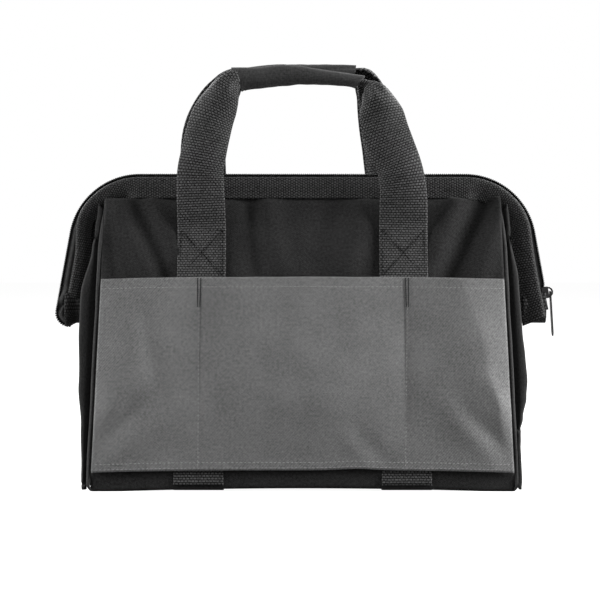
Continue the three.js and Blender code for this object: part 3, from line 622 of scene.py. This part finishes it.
def pocket_line(start, end):
    """A straight line on the pocket, from (x, z) to (x, z)."""
    off = side_facing.normalized()

    def path(share):
        x = mix(start[0], end[0], share)
        z = mix(start[1], end[1], share)
        return pocket_place(x, z), off
    return path


def hem_line(offset, high):
    off = side_facing.normalized()

    def path(share):
        x = mix(-158, 158, share)
        return pocket_place(x, pocket_edge(x, high) + offset), off
    return path


def tack_line(x, offset):
    return pocket_line((x + offset, POCKET_HIGH - 0.5), (x + offset * 0.7, 138))


for word, is_back in SIDES:
    bm = bmesh.new()
    stitch_row(bm, hem_line(-7.6, True), 2.0, 1.2, 0.2)
    stitch_row(bm, hem_line(5.6, False), 2.0, 1.2, 0.22)
    stitch_row(bm, hem_line(1.6, False), 2.0, 1.2, 0.22)
    stitch_row(bm, pocket_line((-80.2, 138), (-79.4, 18)), 2.0, 1.2, 0.22)
    stitch_row(bm, pocket_line((81.0, 138), (78.0, 18)), 2.0, 1.2, 0.22)
    if is_back:
        half_turned(bm)
    finished(f"{word}_pocket_stitches", bm, grey_thread, f"{word}_side")
    bm = bmesh.new()
    for x in (-80.4, 81.2):
        for offset in (-1.2, 1.2):
            stitch_row(bm, tack_line(x, offset), 1.6, 0.1, 0.42)
    if is_back:
        half_turned(bm)
    finished(f"{word}_pocket_bar_tacks", bm, black_thread, f"{word}_side")


# The handles: one webbing strap on each side, sewn to the side below and folded at the grip

# Where a strap's middle runs, as seen from the front: x, distance from the mouth's plane, z, and
# half the angle that its section curls through in degrees. A sewn end lies on the side.
SEWN_END = ((79, None, 4.2, 0), (79, None, 60, 0), (79, None, 120, 0), (79, None, 165, 0),
            (79.2, None, 196, 2))
FRONT_LOOP = (
    (-79.6, 20.9, 211, 7), (-80.2, 20.7, 227, 16), (-80.2, 20.4, 243, 26), (-77.9, 20, 257, 34),
    (-74.9, 19, 271, 38), (-71.4, 17.8, 284, 44), (-67.3, 16.6, 293.5, 56),
    (-63.6, 15.6, 301.3, 74), (-60, 14.8, 308.2, 92), (-55.5, 14.2, 314, 112),
    (-50, 14, 317, 132), (-43, 14, 318.2, 150), (-28, 14, 319, 164), (-8, 14, 320.2, 166),
    (14, 14, 318.6, 166), (32, 14, 316.4, 166), (44, 14, 314.5, 164), (49, 14, 313.2, 158),
    (52.5, 14.4, 310.8, 138), (55.5, 15, 306.6, 112), (58, 15.8, 301.5, 88),
    (60, 16.6, 295.5, 66), (62.2, 17.4, 287, 36), (65.6, 18.6, 274.5, 28), (70.6, 19.4, 261, 28),
    (76.4, 20.2, 246, 36), (79, 20.6, 230, 24), (79.4, 20.6, 212, 8),
)
BACK_LOOP = (
    (-79.4, 20.8, 211, 6), (-79.6, 20.6, 227, 14), (-80, 20.4, 244, 24), (-80, 20, 262, 30),
    (-78.3, 18.6, 275, 32), (-74.8, 17.4, 286, 38), (-69.5, 16.4, 297.5, 54),
    (-64, 15.4, 307, 74), (-58, 14.6, 314.5, 98), (-51, 14, 319.4, 128), (-43, 14, 321.6, 150),
    (-20, 14, 323.2, 164), (0, 14, 323.6, 166), (20, 14, 323.6, 166), (34, 14, 323.2, 164),
    (41, 14, 323.4, 150), (46, 14, 321.6, 134), (50, 14.4, 317.4, 117), (53.4, 15, 310.5, 98),
    (56.6, 15.8, 301.5, 79), (59.8, 16.8, 291, 60), (62.6, 17.8, 278.5, 46), (65.6, 19, 263.5, 36),
    (68.2, 20.2, 246, 28), (71.4, 20.7, 228, 16), (75.8, 20.8, 211, 8),
)


def strap_middle(entry):
    x, away, z, _ = entry
    if away is None:
        up = up_at(z)
        under = 2.2 * (1 - ease((up + 1) / 15))
        return on_side(x, up, belly(x, up) + 2.6 - under)
    return Vector((x, -away, z))


class Strap:
    """The smooth way of one strap, by shares of its real length."""

    def __init__(self, loop):
        left_end = [(-x, away, z, curl) for x, away, z, curl in SEWN_END]
        way = left_end + list(loop) + list(reversed(SEWN_END))
        self.middles = [strap_middle(entry) for entry in way]
        self.curls = [Vector((math.radians(entry[3]), 0, 0)) for entry in way]
        self.steps = 600
        self.runs = [0.0]
        for i in range(self.steps):
            stride = (through(self.middles, (i + 1) / self.steps)
                      - through(self.middles, i / self.steps))
            self.runs.append(self.runs[-1] + stride.length)
        self.length = self.runs[-1]

    def share(self, v):
        run = v * self.length
        after = bisect.bisect_left(self.runs, run, 1, self.steps)
        before = after - 1
        part = (run - self.runs[before]) / (self.runs[after] - self.runs[before])
        return (before + part) / self.steps

    def point(self, u, v):
        """A point of the outer face. In the sleeve the section is folded small."""
        share = self.share(v)
        middle = through(self.middles, share)
        tangent = (through(self.middles, min(1, share + 0.004))
                   - through(self.middles, max(0, share - 0.004))).normalized()
        outward = Vector((0, -1, 0)).lerp(side_facing, ease(abs(tangent.y) / 0.3))
        outward = (outward - tangent * outward.dot(tangent)).normalized()
        across = outward.cross(tangent).normalized()
        curl = max(0.012, through(self.curls, share).x)
        radius = STRAP_WIDTH / (2 * curl)
        angle = mix(-curl, curl, u)
        sag = radius * (math.cos(angle) - math.cos(min(curl, math.pi / 2)))
        folded = ease((curl - math.radians(122)) / math.radians(34))
        pleat = 0.8 * math.sin(7 * angle + 1) * hump(curl - math.radians(108), math.radians(22))
        buckle = 0.5 * rough(middle.x, middle.z + 40 * u, 22, 81) * ease((middle.z - 214) / 24)
        return (middle - across * (radius + pleat) * math.sin(angle) * mix(1, 0.46, folded)
                + outward * ((sag + 0.8 + pleat + buckle) * mix(1, 0.6, folded)))


def mirrored(bm):
    """Moves a piece that was drawn on the front to the same place on the back."""
    for vert in bm.verts:
        vert.co.y = -vert.co.y
    bmesh.ops.reverse_faces(bm, faces=bm.faces)


def seam_on_strap(middle_x, start, end):
    """A sewn line across the strap, from (x, z) to (x, z) measured from the strap's middle."""
    off = side_facing.normalized()

    def path(share):
        x = middle_x + mix(start[0], end[0], share)
        z = mix(start[1], end[1], share)
        up = up_at(z)
        return on_side(x, up, belly(x, up) + 3.5), off
    return path


SEAM_TOP = 196.2
SEAM_LOW = 160
SEAM_HALF = 16.5

for (word, is_back), loop in zip(SIDES, (FRONT_LOOP, BACK_LOOP)):
    strap_way = Strap(loop)
    bm = laid_grid(28, 280, (STRAP_WIDTH, strap_way.length), strap_way.point)
    bmesh.ops.recalc_face_normals(bm, faces=bm.faces)
    if is_back:
        mirrored(bm)
    strap = finished(f"{word}_handle_webbing", bm, strap_webbing, None)
    thicken(strap, 1.5)
    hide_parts(f"{word}_left_strap", f"{word}_right_strap", f"{word}_handle_strap")
    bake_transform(strap)
    bm = bmesh.new()
    for x in (-STRAP_X, STRAP_X):
        corners = ((-SEAM_HALF, SEAM_LOW), (SEAM_HALF, SEAM_TOP),
                   (SEAM_HALF, SEAM_LOW), (-SEAM_HALF, SEAM_TOP))
        for start, end in ((0, 1), (2, 3), (3, 1), (3, 0), (1, 2)):
            stitch_row(bm, seam_on_strap(x, corners[start], corners[end]), 2.6, 0.3, 0.34)
    if is_back:
        mirrored(bm)
    finished(f"{word}_box_stitches", bm, black_thread, f"{word}_side")


# The grip sleeves

# A sleeve's section along the grip: x, middle z, height and depth.
FRONT_SLEEVE = (
    (-52, 316.0, 19.4, 15.5), (-48, 316.5, 18.4, 15.5), (-40, 317.4, 16.8, 15.0),
    (-31, 318.0, 16.0, 15.0), (-22, 319.0, 16.0, 15.0), (-12, 319.5, 16.2, 15.0),
    (-2, 319.4, 14.6, 15.0), (10, 318.4, 12.8, 15.0), (22, 317.3, 11.5, 15.0),
    (36, 315.8, 10.5, 14.5), (41, 314.9, 10.4, 14.0), (45.4, 314.0, 10.6, 14.0),
)
BACK_SLEEVE = (
    (-51, 317.6, 17.6, 15.5), (-47, 318.8, 17.0, 15.5), (-40, 320.2, 16.0, 15.0),
    (-31, 321.6, 15.4, 15.0), (-22, 322.4, 15.0, 15.0), (-12, 322.8, 14.6, 15.0),
    (-2, 323.1, 14.0, 15.0), (10, 323.3, 13.6, 15.0), (20, 323.4, 13.4, 15.0),
    (30, 323.3, 13.4, 14.5), (37, 323.0, 13.6, 14.0), (42, 322.6, 14.0, 14.0),
)


def sleeve_place(way, end_slant):
    middles = [Vector((x, z, 0)) for x, z, _, _ in way]
    sizes = [Vector((height, depth, 0)) for _, _, height, depth in way]

    def place(u, v):
        """Its ends are cut aslant, so that the top is longer than the underside."""
        middle = through(middles, v)
        size = through(sizes, v)
        ahead = through(middles, min(1, v + 0.01)) - through(middles, max(0, v - 0.01))
        slope = ahead.normalized()
        angle = 2 * math.pi * u + math.pi / 2
        around = 7 * angle
        crease = 0.3 * rough(middle.x, around, 8, 31)
        crease -= 0.9 * hump(around - 7 * math.pi + 0.10 * (middle.x + 10), 1.6)
        crease += 0.7 * hump(around - 7 * math.pi - 4 + 0.16 * (middle.x - 12), 2.2)
        high = (size.x / 2 + crease) * math.sin(angle)
        deep = (size.y / 2 + crease) * math.cos(angle)
        slant = end_slant * ease((v - 0.86) / 0.14) - 0.3 * ease((0.14 - v) / 0.14)
        return Vector((middle.x - high * (slope.y - slant), -14 - deep,
                       middle.y + high * slope.x))
    return place


for (word, is_back), way, end_slant in zip(SIDES, (FRONT_SLEEVE, BACK_SLEEVE), (0.5, 0.05)):
    bm = laid_grid(48, 100, (48, 100), sleeve_place(way, end_slant))
    bmesh.ops.remove_doubles(bm, verts=bm.verts, dist=1e-6)
    bmesh.ops.recalc_face_normals(bm, faces=bm.faces)
    if is_back:
        mirrored(bm)
    sleeve = finished(f"{word}_grip_cloth", bm, lighter_painted_polyester, f"{word}_handle")
    thicken(sleeve, 1.4)
    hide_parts(f"{word}_grip_sleeve")


# The mouth: rim webbing, zipper tape and coil

CORNER_Z = RIM_TOP - RIM_CORNER_RADIUS
LEG_TOP_X = RIM_STRAIGHT_HALF + RIM_CORNER_RADIUS * math.cos(LEG_SPLAY)
LEG_TOP_Z = CORNER_Z + RIM_CORNER_RADIUS * math.sin(LEG_SPLAY)
ARC = RIM_CORNER_RADIUS * (math.pi / 2 - LEG_SPLAY)
# The zipper's left end turns under the pivot.
TURN_RADIUS = 9
TURN_START = 133.1
TURN_ANGLE = math.radians(108)


def run_at(z):
    """The run at which a leg comes down to a height."""
    return RIM_STRAIGHT_HALF + ARC + (LEG_TOP_Z - z) / math.cos(LEG_SPLAY)


def mouth_station(side, run):
    """A point of the mouth line by its run from the middle of the top, and the way out of it."""
    if run < RIM_STRAIGHT_HALF:
        return Vector((side * run, 0, RIM_TOP)), Vector((0, 0, 1)), 0.0
    if run < RIM_STRAIGHT_HALF + ARC:
        angle = math.pi / 2 - (run - RIM_STRAIGHT_HALF) / RIM_CORNER_RADIUS
        out = Vector((side * math.cos(angle), 0, math.sin(angle)))
        middle = Vector((side * RIM_STRAIGHT_HALF, 0, CORNER_Z))
        return middle + out * RIM_CORNER_RADIUS, out, math.cos(angle)
    straight_run = min(run, run_at(TURN_START) if side < 0 else run)
    down = straight_run - RIM_STRAIGHT_HALF - ARC
    out = Vector((side * math.cos(LEG_SPLAY), 0, math.sin(LEG_SPLAY)))
    point = Vector((side * (LEG_TOP_X + down * math.sin(LEG_SPLAY)), 0,
                    LEG_TOP_Z - down * math.cos(LEG_SPLAY)))
    if run > straight_run:
        middle = point - out * TURN_RADIUS
        angle = LEG_SPLAY - (run - straight_run) / TURN_RADIUS
        out = Vector((side * math.cos(angle), 0, math.sin(angle)))
        point = middle + out * TURN_RADIUS
    return point, out, math.cos(LEG_SPLAY)


def wing_share(fall):
    """0 along the top, 1 down a wing."""
    return ease((fall - 0.5) / (math.cos(LEG_SPLAY) - 0.5))


def station_between(left_end, right_end, share):
    run = mix(-left_end, right_end, share)
    side = -1 if run < 0 else 1
    point, out, fall = mouth_station(side, abs(run))
    return side, abs(run), point, out, wing_share(fall)


def tape_showing(side, z):
    """How wide the tape shows between the coil and the rim webbing."""
    return mix(0.4, 5.6 if side < 0 else 2.4, ease((218 - z) / 44))


def rim_edge_wave(side, run):
    """How far the rim webbing's edge strays from its line."""
    wave = 0.35 * rough(side * run, 2, 26, 41)
    if side > 0:
        wave += 1.2 * hump(run - 137, 5)
    return wave


RIM_LEFT_END = run_at(145)
RIM_RIGHT_END = run_at(127.5)
RIM_INNER_END = run_at(145)
RIM_FOLD_RADIUS = 2.9
# How far the webbing's leaves reach in from the fold
RIM_DEPTH_TOP = 17.5
RIM_DEPTH_LEFT = 13.2
RIM_DEPTH_RIGHT = 19.0
RIM_DEPTH_INSIDE = 9.0
TAPE_LEFT_END = run_at(TURN_START) + TURN_RADIUS * TURN_ANGLE
TAPE_RIGHT_END = run_at(134)


def rim_point(u, v):
    """The outer face of the folded webbing: up the inner leaf, over the wire and down the front."""
    run = mix(-RIM_LEFT_END, RIM_RIGHT_END, u)
    side = -1 if run < 0 else 1
    radius = RIM_FOLD_RADIUS
    front = ease((0.56 - v) / 0.12)
    if side > 0:
        run *= mix(RIM_INNER_END / RIM_RIGHT_END, 1, front)
    point, out, fall = mouth_station(side, abs(run))
    wing = wing_share(fall)
    tuck = ease(fall / 0.3)
    wing_depth = RIM_DEPTH_LEFT if side < 0 else RIM_DEPTH_RIGHT
    depth = mix(RIM_DEPTH_TOP, wing_depth, wing) + rim_edge_wave(side, abs(run))
    if side < 0:
        depth += RIM_DEPTH_INSIDE * wing * (1 - front)
    lean = mix(TOP_LEAN, -math.radians(5 if side < 0 else 4), tuck)
    leaf = depth - radius
    fold_length = math.pi * radius
    travel = v * (2 * leaf + fold_length)
    if travel < leaf:
        down = leaf - travel
        across = mix(radius, 1.2, ease((down - 3) / (leaf - 3)))
    elif travel > leaf + fold_length:
        down = travel - leaf - fold_length
        covered = 8 if side < 0 else 3
        bulge = 3.4 if side < 0 else radius
        across = -mix(bulge, 1.1, ease((down - covered) / (leaf - covered + 2)))
    else:
        angle = (travel - leaf) / radius
        down = -radius * math.sin(angle)
        across = radius * math.cos(angle)
    low_end = ease((abs(run) - run_at(152)) / 14)
    flare = (3.4 if side > 0 else 2.6) * low_end * front
    centre = -tape_showing(side, point.z) - radius
    outward = centre - down * math.cos(lean) + across * math.sin(lean)
    y = -5.1 - down * math.sin(lean) - across * math.cos(lean) - flare
    ripple = 0.3 * rough(side * run, down, 12, 43)
    slant = 0.22 * (down - 6) * low_end
    return Vector((point.x + outward * out.x, y - ripple, point.z + outward * out.z - slant))


def tape_point(left_end, u, v):
    side, run, point, out, wing = station_between(left_end, TAPE_RIGHT_END, u)
    depth = mix(15.3, 8.2, ease((run - run_at(144)) / 10)) if side < 0 else 15.3
    inward = depth * v - 1.3
    bulge = (1.7 if side < 0 else 0.9) * math.sin(math.pi * clamp(inward / 6)) * wing
    x = point.x - inward * out.x
    z = point.z - inward * out.z
    twist = 0.0
    if side < 0:
        twist = fold(x, z, (-196, 133), (-180, 149), 1.4, 1.6, 0.15)
        twist -= fold(x, z, (-199, 136), (-183, 153), 2.2, 1.6, 0.15)
    return Vector((x, -0.5 - 0.4 * v - bulge + twist, z))


COIL_PITCH = 1.6
# A coil turn's half sizes along the zipper, out of the mouth and across it
COIL_TURN = (0.86, 1.1, 1.3)
COIL_AWAY = 1.25
COIL_DEPTH = 1.35

for word, is_back in SIDES:
    bm = laid_grid(250, 30, (RIM_LEFT_END + RIM_RIGHT_END, 40), rim_point)
    cut = bm.loops.layers.uv.active
    for face in bm.faces:
        for loop in face.loops:
            loop[cut].uv = (loop[cut].uv[1], loop[cut].uv[0])
    if is_back:
        half_turned(bm)
    rim = finished(f"{word}_rim_fold", bm, rim_polyester, f"{word}_rim")
    thicken(rim, 1.3)
    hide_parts(f"{word}_rim_webbing")
    left_end = run_at(134) if is_back else TAPE_LEFT_END
    length = left_end + TAPE_RIGHT_END
    bm = laid_grid(260, 14, (length, 14), lambda u, v: tape_point(left_end, u, v))
    if is_back:
        half_turned(bm)
    tape = finished(f"{word}_zipper_tape", bm, tape_polyester, f"{word}_rim")
    thicken(tape, 0.8, offset=0)
    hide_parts(f"{word}_zip_tape")
    bm = bmesh.new()
    count = int(length / COIL_PITCH)
    for i in range(count):
        side, run, point, out, _ = station_between(left_end, TAPE_RIGHT_END,
                                                   (i + 0.5) / count)
        if is_back and side < 0 and run > run_at(152.9):
            continue
        tangent = out.cross(Vector((0, 1, 0)))
        made = bmesh.ops.create_uvsphere(bm, u_segments=8, v_segments=5, radius=1.0)
        away = mix(-0.3, COIL_AWAY, ease((point.z - 148) / 8)) if side > 0 else COIL_AWAY
        middle = point + out * away + Vector((0, -COIL_DEPTH, 0))
        for vert in made["verts"]:
            x, y, z = vert.co
            vert.co = (middle + tangent * (x * COIL_TURN[0]) + out * (y * COIL_TURN[1])
                       + Vector((0, z * COIL_TURN[2], 0))) * MM
    if is_back:
        half_turned(bm)
    coil = finished(f"{word}_zipper_coil", bm, coil_nylon, f"{word}_rim")
    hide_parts(f"{word}_zip_coil")


# The wings' webbing tabs, turned under the pivots

TAB_WIDTH = 18.5
TAB_RADIUS = 8.0
TAB_RISE = 15
TAB_TURN = math.radians(96)


def tab_point(side):
    edge = LEG_TOP_X + (LEG_TOP_Z - 142) * math.tan(LEG_SPLAY) + 0.3

    def place(u, v):
        inward = mix(TAB_WIDTH, 0 if side > 0 else 5, u if side > 0 else 1 - u)
        x = side * (edge - inward)
        radius = TAB_RADIUS + 0.3 * rough(x, v * 60, 9, 51)
        if side < 0:
            radius += 3.0 * ease((14 - inward) / 8)
        if v < 0.3:
            rise = mix(TAB_RISE, 0, v / 0.3)
            return Vector((x, -radius + 3.4 * ease((rise - 6) / 8), PIVOT_HEIGHT + rise))
        angle = -math.pi + TAB_TURN * (v - 0.3) / 0.7
        return Vector((x, radius * math.cos(angle), PIVOT_HEIGHT + radius * math.sin(angle)))
    return place


for word, side in (("left", -1), ("right", 1)):
    bm = laid_grid(18, 40, (TAB_WIDTH, 36), tab_point(side))
    bmesh.ops.recalc_face_normals(bm, faces=bm.faces)
    tab = finished(f"{word}_wing_webbing", bm, rim_polyester, "front_rim")
    thicken(tab, 1.4)
    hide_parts(f"{word}_wing_tab")


# The soft ends: on each side of the middle a long fold beside the piping

# How far the fold stands out past the side's edge, by height
FOLD_LEFT = ((0, 5), (8, 7.6), (12, 8), (47, 10.2), (79, 13.4), (120, 15.4), (146, 15.6),
             (184, 8.8), (199, 5.4), (212, 3.4), (222, 2.6))
FOLD_RIGHT = ((0, 2.6), (10, 4.4), (32, 4.6), (39, 5.4), (54, 9.6), (69, 12.8), (83, 14.2),
              (99, 13.8), (120, 12.6), (157, 11.8), (198, 6.4), (218, 4.6), (222, 3.6))
# How far the middle of the end stands out there
MIDDLE_LEFT = ((0, 2), (20, 6), (60, 10), (95, 12), (122, 6), (150, 4), (200, 0))
MIDDLE_RIGHT = ((0, 1), (20, 2), (40, 3), (60, 8), (90, 12), (122, 6), (150, 4), (200, 0))


def soft_end_point(side, is_back):
    left = (side < 0) != is_back
    outs, middles = (FOLD_LEFT, MIDDLE_LEFT) if left else (FOLD_RIGHT, MIDDLE_RIGHT)

    def place(u, v):
        low = 1.0 + (7.5 if left else 3.5) * hump(u - 0.44, 0.12)
        z = mix(low, mix(221, 200, ease(u * 1.2)), v)
        half = half_length(up_at(z))
        y = side_y(z) + 2.2
        out = between(outs, z)
        middle = between(middles, z)
        tuck = ease((z - 95) / 40)
        depth = -y
        slack = 0.4 * rough(z, side * 5, 30, 61)
        points = [
            Vector((half + 3.0, y + 2.4)),
            Vector((half + min(4.3, 2.6 + 0.3 * out), y + 1.2)),
            Vector((half + min(4.6, 1.6 + 0.6 * out) + max(0, out - 4.6) * 0.35, y - 1.4)),
            Vector((half + out - 1.2, y - 0.6)),
            Vector((half + out + slack, y + min(4.5, depth * 0.2))),
            Vector((half + out * 0.8, y + min(10, depth * 0.4))),
            Vector((half + mix(middle * 0.9, 2, tuck), y + depth * 0.62)),
            Vector((half + mix(middle, 4, tuck), y + depth * 0.84)),
            Vector((half + mix(middle, 7, tuck), y + depth)),
        ]
        point = through([p.to_3d() for p in points], u)
        return Vector((side * point.x, min(0.0, point.y), z))
    return place


for word, is_back in SIDES:
    for hand in (-1, 1):
        hand_word = ("left" if hand < 0 else "right")
        side = -hand if is_back else hand
        bm = laid_grid(64, 110, (75, 222), soft_end_point(side, is_back))
        if side < 0:
            bmesh.ops.reverse_faces(bm, faces=bm.faces)
        if is_back:
            half_turned(bm)
        end = finished(f"{word}_{hand_word}_soft_end", bm, black_polyester, None)
        thicken(end, 1.6)
        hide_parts(f"{hand_word}_end_panel", f"{word}_{hand_word}_flap")
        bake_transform(end)


# The base cloth, and the webbing under it

bm = bmesh.new()
uv = bm.loops.layers.uv.new("cut")
bmesh.ops.create_grid(bm, x_segments=60, y_segments=36, size=0.5, calc_uvs=True)
for vert in bm.verts:
    x = vert.co.x * (BASE_LENGTH - 1)
    y = vert.co.y * (BASE_DEPTH - 5)
    near = max(abs(vert.co.x), abs(vert.co.y)) * 2
    z = 4.4 + 0.9 * ease((near - 0.9) / 0.1) + 0.15 * rough(x, y, 25, 71)
    vert.co = Vector((x, y, z)) * MM
for face in bm.faces:
    for loop in face.loops:
        loop[uv].uv = (loop.vert.co.x, loop.vert.co.y)
base = finished("base_cloth", bm, black_polyester, "root")
thicken(base, 2.4)
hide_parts("base_panel")


def base_strap_point(side):
    def place(u, v):
        x = side * STRAP_X + (u - 0.5) * STRAP_WIDTH
        y = mix(-86.5, 86.5, v)
        return Vector((x, y, 1.7 + 0.2 * ease((abs(y) - 80) / 7)))
    return place


for word, side in (("left", -1), ("right", 1)):
    bm = laid_grid(12, 60, (STRAP_WIDTH, 173), base_strap_point(side))
    strap = finished(f"{word}_base_webbing", bm, strap_webbing, "root")
    thicken(strap, 1.5)
    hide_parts(f"{word}_base_strap")


# The stage: a white floor, white surroundings and soft lamps

def floor_material():
    material, tree, shader = new_material("white_floor")
    tree.nodes.remove(shader)
    paths = add(tree, "ShaderNodeLightPath")
    matt = add(tree, "ShaderNodeBsdfDiffuse", {"Color": (0.3, 0.3, 0.3, 1)})
    glow = add(tree, "ShaderNodeEmission", {"Color": (1, 1, 1, 1), "Strength": 0.94})
    lit = add(tree, "ShaderNodeAddShader", {0: matt.outputs[0], 1: glow.outputs[0]})
    seen = add(tree, "ShaderNodeMixShader", {0: paths.outputs["Is Camera Ray"],
                                             1: matt.outputs[0], 2: lit.outputs[0]})
    tree.links.new(seen.outputs[0], tree.nodes["Material Output"].inputs["Surface"])
    return material


bm = bmesh.new()
bmesh.ops.create_grid(bm, x_segments=2, y_segments=2, size=6.0)
mesh = bpy.data.meshes.new("floor")
bm.to_mesh(mesh)
bm.free()
floor = bpy.data.objects.new("floor", mesh)
floor.location.z = -0.0003
bpy.context.scene.collection.objects.link(floor)
mesh.materials.append(floor_material())

world = bpy.data.worlds.new("white_room")
bpy.context.scene.world = world
world.use_nodes = True
tree = world.node_tree
paths = add(tree, "ShaderNodeLightPath")
seen = add(tree, "ShaderNodeMath", {0: paths.outputs["Is Camera Ray"],
                                    1: paths.outputs["Is Glossy Ray"]}, operation="MAXIMUM")
seen_or_clear = add(tree, "ShaderNodeMath", {0: seen.outputs[0],
                                             1: paths.outputs["Is Transmission Ray"]},
                    operation="MAXIMUM")
strength = add(tree, "ShaderNodeMapRange", {"Value": seen_or_clear.outputs[0], "To Min": 0.11,
                                            "To Max": 1.0})
background = tree.nodes["Background"]
background.inputs["Color"].default_value = (1, 1, 1, 1)
tree.links.new(strength.outputs[0], background.inputs["Strength"])


def soft_lamp(name, place, aim, size, power):
    data = bpy.data.lights.new(name, "AREA")
    data.shape = "RECTANGLE"
    data.size, data.size_y = size
    data.energy = power
    lamp = bpy.data.objects.new(name, data)
    lamp.location = place
    lamp.rotation_euler = (Vector(aim) - Vector(place)).to_track_quat("-Z", "Y").to_euler()
    bpy.context.scene.collection.objects.link(lamp)


# Name, place, size and power. The side lamps stand low and almost in line with the bag.
LAMPS = (
    ("lamp_right", (2.1, -0.32, 0.8), (0.9, 1.2), 142),
    ("lamp_left", (-2.1, -0.4, 0.65), (0.9, 1.2), 90),
    ("lamp_front", (0.25, -1.6, 1.9), (1.4, 1.0), 10),
    ("lamp_behind_right", (1.5, 1.7, 1.5), (1.2, 1.2), 60),
    ("lamp_behind_left", (-1.5, 1.7, 1.3), (1.2, 1.2), 48),
)
for name, place, size, power in LAMPS:
    soft_lamp(name, place, (0, 0, 0.16), size, power)

scene = bpy.context.scene
scene.view_settings.view_transform = "Standard"
